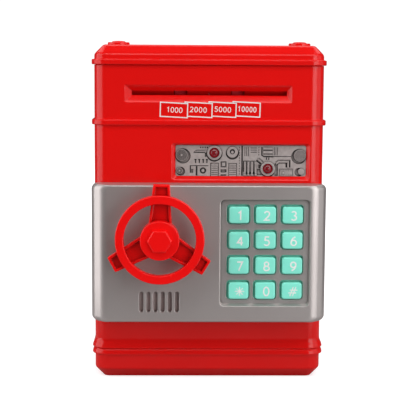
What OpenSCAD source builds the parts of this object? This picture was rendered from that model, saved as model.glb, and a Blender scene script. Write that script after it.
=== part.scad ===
// Toy cash-machine savings bank: a red housing with a silver safe door, a hand wheel that
// turns the latch, a twelve-key pad, a motorised note slot and a coin slot in the roof.
// Frame: origin at the centre of the base face, X to the right, Y to the back, Z up.

/* [Housing] */
// Width of the housing walls, without the ribs
body_w = 130; // [120:1:140]
// Depth of the housing walls, without the ribs
body_d = 95; // [90:1:110]
// Height of the flat roof above the table
roof_z = 190.6; // [189:0.1:200]
// Thickness of the moulded walls
wall = 2.4; // [2:0.1:2.8]
// Radius of the upright edges of the housing
edge_r = 8; // [7:0.5:9]
// Chamfer round the roof
roof_chamfer = 5.3; // [4:0.1:6]
// Chamfer round the base
base_chamfer = 5.6; // [4:0.1:6]

/* [Ribs] */
// How far each rib stands out of the walls
rib_out = 1.5; // [0.5:0.1:2]
// Height of the middle rib above the table
mid_rib_z = 147.2; // [145:0.1:150]
// Height of the top and middle ribs themselves
rib_h = 3; // [2:0.1:4]
// Height of the joint between the base tray and the shell
tray_top = 17.3; // [17:0.1:18]

/* [Note slot] */
// Width of the slot that takes the notes
slot_w = 87.4; // [80:0.2:90]
// Height of the slot that takes the notes
slot_h = 2.5; // [2:0.1:2.8]
// Height of the note slot above the table
slot_z = 163.7; // [162:0.1:165]

/* [Window] */
// Left edge of the relief panel
window_x = -19; // [-25:0.5:-15]
// Width of the relief panel
window_w = 74; // [70:0.5:75]
// Lower edge of the relief panel
window_z = 116.9; // [116:0.1:118]
// Height of the relief panel
window_h = 17.6; // [16:0.1:18]

/* [Door] */
// Width of the door
door_w = 132; // [131:1:135]
// Lower edge of the door
door_z0 = 35.8; // [34:0.1:37]
// Upper edge of the door
door_z1 = 113.3; // [112:0.1:114]
// Distance from the housing front to the door front
door_t = 14; // [13.5:0.1:15]

/* [Keypad] */
// Width of a key
key_w = 11.3; // [11:0.1:12]
// Height of a key
key_h = 9.4; // [9:0.1:10]
// Distance between columns
key_pitch_x = 15; // [14.8:0.1:15.2]
// Distance between rows
key_pitch_z = 14.27; // [14.2:0.01:14.5]
// How far a key travels
key_travel = 1.3; // [0.8:0.1:1.4]

/* [Hand wheel] */
// Place of the wheel to the left of the middle
wheel_x = -27; // [-28:0.5:-26]
// Height of the wheel's axis above the table
wheel_z = 84.6; // [83:0.1:86]
// Outer radius of the wheel's ring
ring_ro = 24.6; // [24:0.1:25]
// Inner radius of the wheel's ring
ring_ri = 20.2; // [19:0.1:21]
// Length of the latch tongue from the wheel's axis
tongue_l = 31; // [29:0.5:32]

/* [Power] */
// Diameter of an AA cell
cell_d = 14.5; // [13.5:0.1:14.5]
// Length of an AA cell
cell_l = 50.5; // [49.5:0.1:50.5]

/* [Hidden] */
$fn = 48;
eps = 0.01;

// Housing
inner_w = body_w - 2 * wall;
inner_d = body_d - 2 * wall;
inner_r = edge_r - wall;
front_y = -body_d / 2;
wall_y = front_y + wall;
lid_z = 179.4;
lip_z = 175.5;
roof_in = roof_z - wall;
flare_z0 = tray_top + 2.3;
flare_z1 = tray_top + 5.6;
floor_z = 32;
floor_t = 2;
shelf_z = 112;
shelf_t = 2;
shelf_back = -8;
post_x = 52;
post_y = 36;
post_r = 4.5;
screw_r = 1.3;
boss_x = 51.5;
boss_y = 33;
boss_r = 6.2;
boss_h = 2.1;
coin_y = 18;
coin_w = 30;
coin_t = 3.6;

// Door opening in the front wall
gate_x0 = -52;
gate_x1 = 50;
gate_z0 = 42;
gate_z1 = 107;

// Door
door_r = 9.5;
door_back_y = front_y - 0.3;
door_y = front_y - door_t;
door_wall = 2.4;
door_in_y = door_y + door_wall;
plate_t = 2;
plate_y = door_back_y - plate_t;
hinge_x = door_w / 2 - 5;
hinge_y = door_y + door_r;
pin_r = 1.2;
lug_r = 3.6;
lug_h = 8;
lug_z = [42, 99];
neck_angle = 125;
neck_w = 3;
cavity_x = 56.5;

// Keypad
pad_x = [6.3, 56.5];
pad_z = [45.1, 105.2];
pad_deep = 2.2;
pad_y = door_y + pad_deep;
pad_wall = 2;
key_x0 = 16.6;
key_z0 = 96.65;
key_front = door_y - 0.1;
key_flange_y = pad_y + pad_wall + 0.4;
key_flange_t = 0.8;
key_gap = 0.6;
aperture_shift = [-0.15, 0.1];

// Speaker grille
grille_x = -27.85;
grille_z = 47.4;
grille_pitch = 3.98;
grille_n = 6;

// Boards behind the keys
board_y = key_flange_y + key_flange_t + key_travel + 0.2;

// Hand wheel, measured forwards from the middle of the housing
ring_back = 71;
ring_front = 77;
hub_front = 79.5;
hub_r = 10.8;
shaft_r = 4;
shaft_front = 76.3;
shaft_back = 40.8;
bush_r = 6;
spoke_tip = 30.2;
spoke_turn = -1.7;
tongue_front = 43.8;
tongue_t = 3;
disc_r = 9.5;
disc_y = -55.6;
disc_t = 2;
notch_deep = 4;
plunger_r = 1.9;
plunger_y = disc_y + disc_t / 2;

// Note slot and feeder: the passage drops from the slot to the level of the rollers
mouth_x = [-47.3, 46.3];
mouth_z = [158.7, 168.1];
feed_z = slot_z - 2.6;
side_x = 48;
side_t = 2;
guide_t = 1.8;
guide_back = -20;
ramp_back = -38.5;
pad_back = wall_y + 1.6;
eye_y = pad_back + 3.4;
eye_r = 0.7;
roll_r = 5;
roll_w = 6.4;
roll_x = 16.2;
roll_y = -34;
roll_gap = 0.2;
drive_z = feed_z - roll_r - roll_gap / 2;
pinch_z = feed_z + roll_r + roll_gap / 2;
rod_r = 1.5;
rod_gap = 0.06;
gear_m = 0.6;
big_n = 26;
small_n = 10;
twin_n = 12;
twin_m = (pinch_z - drive_z) / twin_n;
train = gear_m * (big_n + small_n) / 2;
idler_y = roll_y + train * cos(45);
idler_z = drive_z - train * sin(45);
motor_y = idler_y;
motor_z = idler_z - train;
motor_r = 6.5;
axle_r = 1;

// Battery bay
bay_x = 30;
bay_w = 48;
bay_l = 54;
bay_wall = 3;
bay_top = 19.5;
cover_z = [0.3, 2.1];
cell_pitch = 15.2;
cell_z = 3.2 + cell_d / 2;

KEYS = ["key_1", "key_2", "key_3", "key_4", "key_5", "key_6", "key_7", "key_8", "key_9",
        "key_star", "key_0", "key_hash"];

red = "#db1512";
silver = "#9b958f";
mint = "#78e1c8";

// ---------- shared shapes ----------

// A rectangle with round corners, in plan
module rounded(w, d, r) {
    for (x = [-1, 1], y = [-1, 1]) translate([x * (w / 2 - r), y * (d / 2 - r)]) circle(r = r);
    square([w - 2 * r, d], center = true);
    square([w, d - 2 * r], center = true);
}

// An upright block with round edges
module block(w, d, r, z0, z1) {
    translate([0, 0, z0]) linear_extrude(z1 - z0) rounded(w, d, r);
}

// A band that leans inwards by run while it climbs from z0 to z1
module leaning(w, d, r, z0, z1, run) {
    rise = z1 - z0;
    for (x = [-1, 1], y = [-1, 1])
        translate([x * (w / 2 - r), y * (d / 2 - r), z0]) cylinder(h = rise, r1 = r, r2 = r - run);
    translate([-(w / 2 - r), 0, z0]) rotate([90, 0, 90]) linear_extrude(w - 2 * r)
        polygon([[-d / 2, 0], [d / 2, 0], [d / 2 - run, rise], [run - d / 2, rise]]);
    translate([0, d / 2 - r, z0]) rotate([90, 0, 0]) linear_extrude(d - 2 * r)
        polygon([[-w / 2, 0], [w / 2, 0], [w / 2 - run, rise], [run - w / 2, rise]]);
}

// A cuboid from its lowest to its highest corner
module slab(a, b) {
    translate(a) cube(b - a);
}

// A rod along X from x0 to x1
module rod_x(x0, x1, y, z, r) {
    translate([x0, y, z]) rotate([0, 90, 0]) cylinder(h = x1 - x0, r = r);
}

// A rod along Y from y0 to y1
module rod_y(x, z, y0, y1, r) {
    translate([x, y1, z]) rotate([90, 0, 0]) cylinder(h = y1 - y0, r = r);
}

// A pocket with sloping sides: x and z ranges at the mouth y0 and at the floor y1
module sloping_pocket(mouth_x, mouth_z, floor_x, floor_z, y0, y1) {
    intersection() {
        translate([0, 0, mouth_z[0] - 1]) linear_extrude(mouth_z[1] - mouth_z[0] + 2)
            polygon([[mouth_x[0], y0], [mouth_x[1], y0], [floor_x[1], y1], [floor_x[0], y1]]);
        translate([mouth_x[0] - 1, 0, 0]) rotate([90, 0, 90])
            linear_extrude(mouth_x[1] - mouth_x[0] + 2)
            polygon([[y0, mouth_z[0]], [y0, mouth_z[1]], [y1, floor_z[1]], [y1, floor_z[0]]]);
    }
}

// An outline in the plane of the front, pushed from y0 to y1
module upright(y0, y1) {
    translate([0, y1, 0]) rotate([90, 0, 0]) linear_extrude(y1 - y0) children();
}

// Involute gear outline: degrees that half a tooth covers at radius r
function unwind(a) = tan(a) * 180 / PI - a;
function half_tooth(r, n, m) =
    90 / n + unwind(20) - unwind(acos(min(1, m * n / 2 * cos(20) / r))) - 0.1 / (m * n / 2) * 57.3;
function at(r, a) = [r * cos(a), r * sin(a)];
module gear_face(n, m) {
    root = m * (n / 2 - 1.15);
    tip = m * (n / 2 + 0.8);
    steps = 4;
    climb = [for (i = [0:steps]) root + (tip - root) * i / steps];
    polygon([for (k = [0:n - 1]) each concat(
        [for (r = climb) at(r, k * 360 / n - half_tooth(r, n, m))],
        [for (i = [steps:-1:0]) at(climb[i], k * 360 / n + half_tooth(climb[i], n, m))])]);
}

// A gear on an axis along X, with one tooth at the angle toward, measured from +Y to +Z
module gear_x(n, m, x0, x1, y, z, toward, bore) {
    translate([x0, y, z]) rotate([90, 0, 90]) linear_extrude(x1 - x0) difference() {
        rotate(toward) gear_face(n, m);
        circle(r = bore);
    }
}

// ---------- housing ----------

module hinge_lugs() {
    for (z = lug_z) translate([hinge_x, hinge_y, z]) {
        cylinder(h = lug_h, r = lug_r);
        rotate(neck_angle) translate([0, -neck_w / 2, 0]) cube([7.5, neck_w, lug_h]);
    }
}

module corner_posts(z0, z1) {
    for (x = [-1, 1], y = [-1, 1]) in_corner(x, y) {
        translate([post_x, post_y, z0]) cylinder(h = z1 - z0, r = post_r);
        slab([post_x, post_y - 1, z0], [body_w / 2 - wall / 2, post_y + 1, z1]);
        slab([post_x - 1, post_y, z0], [post_x + 1, body_d / 2 - wall / 2, z1]);
    }
}

// The same thing in the corner on side x and side y
module in_corner(x, y) {
    mirror([x < 0 ? 1 : 0, 0, 0]) mirror([0, y < 0 ? 1 : 0, 0]) children();
}

module body_shell() color(red) difference() {
    union() {
        difference() {
            union() {
                block(body_w, body_d, edge_r, tray_top + 0.1, lid_z - 0.1);
                block(body_w + 2 * rib_out, body_d + 2 * rib_out, edge_r + rib_out,
                      mid_rib_z - rib_h / 2, mid_rib_z + rib_h / 2);
                block(body_w + 2 * rib_out, body_d + 2 * rib_out, edge_r + rib_out,
                      tray_top + 0.1, flare_z0);
                leaning(body_w + 2 * rib_out, body_d + 2 * rib_out, edge_r + rib_out,
                        flare_z0, flare_z1, rib_out);
            }
            block(inner_w, inner_d, inner_r, 0, roof_z);
        }
        slab([-50, wall_y - 1, slot_z - 8], [50, pad_back, slot_z + 8]);
        corner_posts(tray_top + 0.1, floor_z - floor_t);
        hinge_lugs();
    }
    sloping_pocket(mouth_x, mouth_z, [-slot_w / 2, slot_w / 2],
                   [slot_z - slot_h / 2, slot_z + slot_h / 2], front_y - eps, front_y + 3);
    slab([-slot_w / 2, front_y, slot_z - slot_h / 2], [slot_w / 2, pad_back + 1, slot_z + slot_h / 2]);
    sloping_pocket([window_x - 2, window_x + window_w + 2], [window_z - 2.1, window_z + window_h + 0.9],
                   [window_x, window_x + window_w], [window_z, window_z + window_h],
                   front_y - eps, front_y + 2);
    slab([window_x, front_y, window_z], [window_x + window_w, wall_y + 1, window_z + window_h]);
    slab([gate_x0, front_y - 1, gate_z0], [gate_x1, wall_y + 1, gate_z1]);
    for (x = [-1, 1], y = [-1, 1])
        translate([x * post_x, y * post_y, tray_top]) cylinder(h = 11, r = screw_r);
    for (z = lug_z) translate([hinge_x, hinge_y, z - 1]) cylinder(h = lug_h + 2, r = pin_r);
}

module top_lid() color(red) difference() {
    union() {
        block(body_w, body_d, edge_r, lid_z, roof_z - roof_chamfer);
        leaning(body_w, body_d, edge_r, roof_z - roof_chamfer, roof_z, roof_chamfer);
        block(body_w + 2 * rib_out, body_d + 2 * rib_out, edge_r + rib_out, lid_z, lid_z + rib_h);
        block(inner_w - 0.3, inner_d - 0.3, inner_r, lip_z, lid_z + 1);
        for (x = [-1, 1]) translate([x * boss_x, -boss_y, roof_z - 1]) {
            cylinder(h = boss_h + 0.2, r = boss_r);
            translate([0, 0, boss_h + 0.2]) cylinder(h = 0.8, r1 = 3.8, r2 = 3);
        }
    }
    block(inner_w - 4, inner_d - 4, inner_r - 2, lip_z - 1, roof_in - 3);
    leaning(inner_w - 4, inner_d - 4, inner_r - 2, roof_in - 3 - eps, roof_in, 3);
    slab([-coin_w / 2, coin_y - coin_t / 2, roof_in - 1], [coin_w / 2, coin_y + coin_t / 2, roof_z + 1]);
}

module base_tray() color(red) difference() {
    union() {
        difference() {
            union() {
                mirror([0, 0, 1]) leaning(body_w, body_d, edge_r, -base_chamfer, 0, base_chamfer);
                block(body_w, body_d, edge_r, base_chamfer, tray_top);
                block(body_w + 2 * rib_out, body_d + 2 * rib_out, edge_r + rib_out,
                      tray_top - 3.4, tray_top);
            }
            mirror([0, 0, 1]) leaning(inner_w, inner_d, inner_r, -wall - 4, -wall, 4);
            block(inner_w, inner_d, inner_r, wall + 4 - eps, tray_top + 1);
        }
        slab([bay_x - bay_w / 2 - bay_wall, -bay_l / 2 - bay_wall, 0],
             [bay_x + bay_w / 2 + bay_wall, bay_l / 2 + bay_wall, bay_top]);
        translate([bay_x, bay_l / 2 + 4.4, 0]) cylinder(h = 12, r = 4);
        for (x = [-1, 1], y = [-1, 1])
            translate([x * post_x, y * post_y, 0]) cylinder(h = tray_top, r = post_r);
        for (x = [-46, -8], y = [-25, 25]) translate([x, y, 1]) cylinder(h = 9, r = 2);
    }
    slab([bay_x - bay_w / 2, -bay_l / 2, cover_z[1]], [bay_x + bay_w / 2, bay_l / 2, bay_top - 1.5]);
    slab([bay_x - bay_w / 2 - 1, -bay_l / 2 - 1, -1], [bay_x + bay_w / 2 + 1, bay_l / 2 + 1, cover_z[1]]);
    slab([bay_x - 6, 0, -1], [bay_x + 6, bay_l / 2 + 8, cover_z[1]]);
    translate([bay_x, bay_l / 2 + 4.4, 0]) cylinder(h = 10, r = 1.2);
    for (x = [-1, 1], y = [-1, 1]) translate([x * post_x, y * post_y, -1]) {
        cylinder(h = 5, r = 3.2);
        cylinder(h = 30, r = 1.6);
    }
}

module housing_screws() color("silver") {
    for (x = [-1, 1], y = [-1, 1]) translate([x * post_x, y * post_y, 0]) {
        difference() {
            translate([0, 0, 2]) cylinder(h = 2, r = 2.8);
            slab([-2, -0.35, 1], [2, 0.35, 3]);
            slab([-0.35, -2, 1], [0.35, 2, 3]);
        }
        translate([0, 0, 4 - eps]) cylinder(h = 22, r = screw_r);
    }
}

module chamber_floor() color("#b01010")
    block(inner_w - 0.4, inner_d - 0.4, inner_r - 0.2, floor_z - floor_t, floor_z);

// ---------- relief window ----------

// A round boss on the panel: place from the panel's top left corner, radius and height
module disc_on(u, v, r, h) {
    rod_y(window_x + u, window_z + window_h - v, panel_y - h, panel_y + 0.2, r);
}

// A raised block on the panel, from corner to corner
module block_on(u0, v0, u1, v1, h) {
    slab([window_x + u0, panel_y - h, window_z + window_h - v1],
         [window_x + u1, panel_y + 0.2, window_z + window_h - v0]);
}

panel_y = front_y + 1.9;
lens_1 = [22, 4.3];
lens_2 = [52.3, 13.2];
lens_r = 2.9;

module window_panel() color("#a59e9b") difference() {
    union() {
        slab([window_x - 3, wall_y, shelf_z + shelf_t + 0.1],
             [body_w / 2 - edge_r - 0.2, wall_y + 1.5, window_z + window_h + 3]);
        slab([window_x + 0.1, panel_y, window_z + 0.1],
             [window_x + window_w - 0.1, wall_y + 0.5, window_z + window_h - 0.1]);
        disc_on(3.2, 5.8, 3.1, 0.9);
        disc_on(2.6, 15, 1.9, 0.7);
        disc_on(70.3, 6.3, 3.4, 0.9);
        disc_on(71.5, 15.2, 2.2, 0.7);
        disc_on(lens_1[0], lens_1[1], 4, 0.7);
        disc_on(lens_2[0], lens_2[1], 4, 0.7);
        disc_on(32, 4.2, 3.5, 0.6);
        disc_on(15.6, 14.4, 1.8, 0.5);
        for (u = [20, 30.5]) block_on(u, 10, u + 4, 17.3, 0.5);
        for (v = [9.2, 11.9, 14.6]) block_on(25.6, v, 28.6, v + 2.2, 0.5);
        for (u = [38.4:1.9:45]) block_on(u, 9.3, u + 1.2, 17.3, 0.5);
        for (v = [1.7, 3.7]) block_on(10, v, 17.5, v + 1.1, 0.5);
        block_on(49, 1, 57.5, 6.8, 0.5);
        block_on(57.5, 5.6, 66, 6.6, 0.5);
        block_on(57, 9, 65, 10.2, 0.5);
        block_on(63.8, 9, 65, 13, 0.5);
        block_on(58.5, 13.6, 66, 17.3, 0.5);
    }
    for (p = [lens_1, lens_2])
        rod_y(window_x + p[0], window_z + window_h - p[1], panel_y - 3, wall_y + 2, lens_r);
    disc_hole(32, 4.2, 2.4);
    disc_hole(15.6, 14.4, 1);
}

// A shallow round hollow in a boss on the panel
module disc_hole(u, v, r) {
    rod_y(window_x + u, window_z + window_h - v, panel_y - 3, panel_y - 0.1, r);
}

module indicator_lenses() color("#a80f18")
    for (p = [lens_1, lens_2]) translate([window_x + p[0], 0, window_z + window_h - p[1]]) {
        rod_y(0, 0, panel_y - 0.4, wall_y + 1.5, lens_r - 0.05);
        rod_y(0, 0, panel_y - 1, panel_y - 0.4, 1.9);
    }

module indicator_board() color("#2b6b3a")
    slab([window_x, wall_y + 4.2, window_z], [side_x - 1.5, wall_y + 5.6, window_z + window_h]);

module indicator_leds() color("#e8e0d8")
    for (p = [lens_1, lens_2])
        rod_y(window_x + p[0], window_z + window_h - p[1], wall_y + 1.6, wall_y + 4.2, 1.5);

// ---------- note feeder ----------

module feeder_frame() color("#c01412") difference() {
    union() {
        intersection() {
            block(inner_w - 0.4, inner_d - 0.4, inner_r - 0.2, shelf_z, shelf_z + shelf_t);
            slab([-body_w, -body_d, 0], [body_w, shelf_back, roof_z]);
        }
        for (x = [-side_x - side_t, side_x])
            slab([x, -40, shelf_z + 1], [x + side_t, -16, 177]);
    }
    for (z = [drive_z, pinch_z]) rod_x(-side_x - 4, side_x + 4, roll_y, z, rod_r + rod_gap);
    rod_x(side_x - 1, side_x + 4, motor_y, motor_z, 2.5);
    rod_x(side_x - 1, side_x + 4, idler_y, idler_z, axle_r);
}

// A guide plate that slopes down behind the slot and then lies flat. Its faces are given from the
// middle of the passage, and the notches for the tyres start the distance room before them.
module guide(low, high, room) difference() {
    translate([-side_x + 0.1, 0, 0]) rotate([90, 0, 90]) linear_extrude(2 * side_x - 0.2) polygon([
        [pad_back, slot_z + low], [ramp_back, feed_z + low], [guide_back, feed_z + low],
        [guide_back, feed_z + high], [ramp_back, feed_z + high], [pad_back, slot_z + high]]);
    for (x = [-roll_x, roll_x])
        slab([x - roll_w / 2 - 0.5, roll_y - roll_r - room, feed_z + low - 1],
             [x + roll_w / 2 + 0.5, roll_y + roll_r + 0.6, slot_z + high + 1]);
    translate([0, eye_y, feed_z + low - 1]) cylinder(h = slot_z - feed_z + guide_t + 2, r = eye_r + 0.1);
}

module note_guide_lower() color("#8f0d0c") guide(-slot_h / 2 - guide_t, -slot_h / 2, 0.6);

module note_guide_upper() color("#8f0d0c") guide(slot_h / 2, slot_h / 2 + guide_t, 6);

module note_sensor() color("#151515") {
    slab([-3, pad_back + 0.5, feed_z - 9], [3, pad_back + 6, feed_z - slot_h / 2 - guide_t]);
    translate([0, eye_y, feed_z - 9]) cylinder(h = 8, r = eye_r);
}

module motor() color("silver") difference() {
    union() {
        rod_x(side_x - 22, side_x, motor_y, motor_z, motor_r);
        rod_x(side_x - 1, side_x + 1.8, motor_y, motor_z, 2.4);
        rod_x(side_x - 24, side_x - 22, motor_y, motor_z, 2);
    }
    rod_x(side_x - 6, side_x + 3, motor_y, motor_z, axle_r + rod_gap);
}

module idler_axle() color("silver") rod_x(side_x, side_x + 8.4, idler_y, idler_z, axle_r);

module drive_shaft() color("silver") rod_x(-side_x - 6, side_x + 8, roll_y, drive_z, rod_r);
module pinch_shaft() color("silver") rod_x(-side_x - 6, side_x + 3, roll_y, pinch_z, rod_r);

module tyres(z) for (x = [-roll_x, roll_x]) difference() {
    rod_x(x - roll_w / 2, x + roll_w / 2, roll_y, z, roll_r);
    rod_x(x - roll_w, x + roll_w, roll_y, z, rod_r);
}
module drive_tyres() color("#8c2a2e") tyres(drive_z);
module pinch_tyres() color("#8c2a2e") tyres(pinch_z);

twin_x = [-side_x - side_t - 3.2, -side_x - side_t - 0.5];
module drive_gears() color("ivory") {
    gear_x(twin_n, twin_m, twin_x[0], twin_x[1], roll_y, drive_z, 90, rod_r);
    gear_x(big_n, gear_m, side_x + 4.8, side_x + 7.4, roll_y, drive_z, -45, rod_r);
}
module pinch_gear() color("ivory")
    gear_x(twin_n, twin_m, twin_x[0], twin_x[1], roll_y, pinch_z, -90 + 180 / twin_n, rod_r);
module idler_gear() color("ivory") {
    gear_x(big_n, gear_m, side_x + 2.4, side_x + 4.4, idler_y, idler_z, -90, axle_r + 0.05);
    gear_x(small_n, gear_m, side_x + 4.4, side_x + 7.8, idler_y, idler_z,
           135 + 180 / small_n, axle_r + 0.05);
}
module motor_pinion() color("ivory") {
    gear_x(small_n, gear_m, side_x + 2.5, side_x + 4.1, motor_y, motor_z,
           90 + 180 / small_n, axle_r);
    rod_x(side_x - 5.5, side_x + 4.4, motor_y, motor_z, axle_r);
}

module coin_chute() color("#c01412") difference() {
    slab([-coin_w / 2 - 3, coin_y - 4.2, 122], [coin_w / 2 + 3, coin_y + 4.2, roof_in]);
    slab([-coin_w / 2 - 1, coin_y - 2.2, 121], [coin_w / 2 + 1, coin_y + 2.2, roof_in + 1]);
}

// ---------- power and electronics ----------

module battery_cells() for (i = [-1:1]) translate([bay_x + i * cell_pitch, 0, cell_z]) {
    color("#303030") rod_y(0, 0, -cell_l / 2, cell_l / 2 - 1, cell_d / 2);
    color("silver") rod_y(0, 0, cell_l / 2 - 1 - eps, cell_l / 2, 2.7);
}

module battery_contacts() color("silver") for (i = [-1:1]) translate([bay_x + i * cell_pitch, 0, 0]) {
    slab([-5, bay_l / 2 - 0.5, 4], [5, bay_l / 2, 16]);
    slab([-5, -bay_l / 2, 4], [5, 0.5 - bay_l / 2, 16]);
    rod_y(0, cell_z, 0.5 - bay_l / 2 - eps, -cell_l / 2, 3);
}

module battery_cover() color(red) difference() {
    union() {
        slab([bay_x - bay_w / 2 - 0.7, -bay_l / 2 - 0.7, cover_z[0]],
             [bay_x + bay_w / 2 + 0.7, bay_l / 2 + 0.7, cover_z[1]]);
        slab([bay_x - 5.7, 0, cover_z[0]], [bay_x + 5.7, bay_l / 2 + 7.7, cover_z[1]]);
    }
    for (i = [-3:3]) slab([bay_x - 10, -15 + i * 2.4, 0], [bay_x + 10, -14 + i * 2.4, 0.8]);
    translate([bay_x, bay_l / 2 + 4.4, -1]) {
        cylinder(h = 2.4, r = 2.8);
        cylinder(h = 9, r = 1.1);
    }
}

module battery_screw() color("silver") translate([bay_x, bay_l / 2 + 4.4, 0]) difference() {
    union() {
        translate([0, 0, 0.4]) cylinder(h = 1, r = 2.6);
        translate([0, 0, 1]) cylinder(h = 7, r = 1.1);
    }
    slab([-1.8, -0.3, 0], [1.8, 0.3, 0.9]);
    slab([-0.3, -1.8, 0], [0.3, 1.8, 0.9]);
}

module control_board() color("#2b6b3a") {
    slab([-50, -29, 10], [-4, 29, 11.6]);
    slab([-40, -10, 11.6 - eps], [-28, 2, 13.6]);
    slab([-20, 8, 11.6 - eps], [-10, 20, 15]);
    for (y = [-22, -16, -10]) translate([-14, y, 11.6 - eps]) cylinder(h = 7, r = 2.2);
    slab([-44, 14, 11.6 - eps], [-30, 20, 17]);
}

// ---------- door ----------

// The door's outline in plan: round front corners, and a rear right corner round the hinge axis
module door_plan() {
    front_w = door_w - 2 * door_r;
    for (x = [-1, 1]) intersection() {
        translate([x * front_w / 2, hinge_y]) circle(r = door_r);
        translate([x > 0 ? 0 : -door_w, door_y - 1]) square([door_w, door_r + 1]);
    }
    translate([-front_w / 2, door_y]) square([front_w, door_r]);
    translate([-door_w / 2, hinge_y]) square([door_w / 2 + hinge_x, door_back_y - hinge_y]);
    intersection() {
        translate([hinge_x, hinge_y]) circle(r = door_w / 2 - hinge_x);
        translate([hinge_x, hinge_y]) square([door_r, door_back_y - hinge_y]);
    }
}

module door_solid() intersection() {
    translate([0, 0, door_z0]) linear_extrude(door_z1 - door_z0) door_plan();
    translate([-door_w, 0, (door_z0 + door_z1) / 2]) rotate([90, 0, 90]) linear_extrude(2 * door_w)
        translate([door_y + door_t / 2 + 2, 0]) rounded(door_t + 4, door_z1 - door_z0, 1.2);
    translate([0, 0, (door_z0 + door_z1) / 2]) rotate([90, 0, 0])
        linear_extrude(100) rounded(door_w, door_z1 - door_z0, 2.8);
}

// The room that each lug and its neck need while the door swings
module hinge_notches() for (z = lug_z) translate([hinge_x, hinge_y, z - 0.3]) {
    cylinder(h = lug_h + 0.6, r = lug_r + 0.3);
    linear_extrude(lug_h + 0.6) polygon(concat([[0, 0]], [for (a = [4:37:152]) at(16, a)]));
}

door_posts = [[-60, 42.5], [-60, 106.5], [50, 41.9], [50, 107.9]];
key_places = [for (row = [0:3], col = [0:2]) [key_x0 + col * key_pitch_x, key_z0 - row * key_pitch_z]];

// The hollow of the door in plan, open to the back
module cavity_plan() {
    left = -door_w / 2 + door_wall;
    turn_x = -door_w / 2 + door_r;
    intersection() {
        translate([turn_x, hinge_y]) circle(r = door_r - door_wall);
        translate([left - 5, door_in_y - 5]) square([turn_x - left + 5, hinge_y - door_in_y + 5]);
    }
    translate([turn_x, door_in_y]) square([cavity_x - turn_x, hinge_y - door_in_y]);
    translate([left, hinge_y]) square([cavity_x - left, 20]);
}

module door_shell() color(silver) difference() {
    union() {
        difference() {
            door_solid();
            translate([0, 0, door_z0 + door_wall])
                linear_extrude(door_z1 - door_z0 - 2 * door_wall) cavity_plan();
            translate([0, 0, lug_z[0] + lug_h + 6])
                linear_extrude(lug_z[1] - lug_z[0] - lug_h - 12) {
                intersection() {
                    translate([door_w / 2 - door_r, hinge_y]) circle(r = door_r - door_wall);
                    translate([cavity_x - 1, door_in_y]) square([20, door_r - door_wall]);
                }
                translate([cavity_x - 1, hinge_y - 1]) square([3, 20]);
            }
        }
        slab([pad_x[0] - 2.2, door_in_y - 1, pad_z[0] - 2.2],
             [cavity_x + 0.5, pad_y + pad_wall, pad_z[1] + 2.2]);
        for (p = door_posts) rod_y(p[0], p[1], door_in_y - 1, plate_y, 2.6);
    }
    upright(door_y - 1, pad_y) translate([(pad_x[0] + pad_x[1]) / 2, (pad_z[0] + pad_z[1]) / 2])
        rounded(pad_x[1] - pad_x[0], pad_z[1] - pad_z[0], 2.4);
    for (p = key_places) upright(door_y, pad_y + pad_wall + 1) translate(p + aperture_shift)
        rounded(key_w + 2 * key_gap, key_h + 2 * key_gap, 1.8);
    for (i = [0:grille_n - 1]) upright(door_y - 1, door_in_y + 1)
        translate([grille_x + (i - (grille_n - 1) / 2) * grille_pitch, grille_z])
            rounded(2.6, 11.9, 1.29);
    rod_y(wheel_x, wheel_z, door_y - 1, door_in_y + 1, bush_r);
    for (p = door_posts) rod_y(p[0], p[1], plate_y - 6, plate_y + 1, 1.1);
    hinge_notches();
    for (z = lug_z) translate([hinge_x, hinge_y, z - 4]) cylinder(h = lug_h + 8, r = pin_r + rod_gap);
}

module door_back() color("#8f8a85") difference() {
    slab([-door_w / 2 + door_wall + 0.2, plate_y, door_z0 + door_wall + 0.2],
         [cavity_x - 0.2, door_back_y, door_z1 - door_wall - 0.2]);
    rod_y(wheel_x, wheel_z, plate_y - 1, door_back_y + 1, shaft_r + rod_gap);
    for (p = door_posts) {
        rod_y(p[0], p[1], plate_y - 1, door_back_y + 1, 1.3);
        rod_y(p[0], p[1], door_back_y - 1.4, door_back_y + 1, 2.9);
    }
    hinge_notches();
}

module door_screws() color("silver") for (p = door_posts) {
    rod_y(p[0], p[1], door_back_y - 1.3, door_back_y - 0.2, 2.6);
    rod_y(p[0], p[1], plate_y - 5, door_back_y - 1.2, 1.1);
}

module keypad_membrane() color("#d8f0e8")
    slab([pad_x[0], board_y, pad_z[0]], [54.5, board_y + 0.8, pad_z[1]]);

module keypad_board() color("#2b6b3a") {
    slab([pad_x[0], board_y + 0.9, pad_z[0]], [54.5, board_y + 2.4, pad_z[1]]);
    slab([20, board_y + 2.4 - eps, 66], [34, board_y + 3.6, 76]);
}

module speaker() color("#202020") {
    rod_y(-27.7, 49, door_in_y + 0.1, door_in_y + 1.6, 10);
    rod_y(-27.7, 49, door_in_y + 1.5, door_in_y + 4, 7);
    rod_y(-27.7, 49, door_in_y + 4 - eps, door_in_y + 7, 5);
}

module wheel_bush() color("ivory") difference() {
    union() {
        rod_y(wheel_x, wheel_z, door_y, door_in_y + 0.5, bush_r);
        rod_y(wheel_x, wheel_z, door_in_y, door_in_y + 1.6, bush_r + 2.5);
    }
    rod_y(wheel_x, wheel_z, door_y - 1, door_in_y + 5, shaft_r + rod_gap);
}

module lock_solenoid() color("#707070") difference() {
    slab([wheel_x + disc_r + 3.4, plunger_y - 4, wheel_z - 7.5],
         [wheel_x + disc_r + 19, plunger_y + 4, wheel_z + 7.5]);
    rod_x(wheel_x + disc_r + 3, wheel_x + disc_r + 16, plunger_y, wheel_z, plunger_r + rod_gap);
}

module lock_plunger() color("silver")
    rod_x(wheel_x + disc_r + 0.3, wheel_x + disc_r + 14, plunger_y, wheel_z, plunger_r);

// ---------- keys ----------

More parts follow.
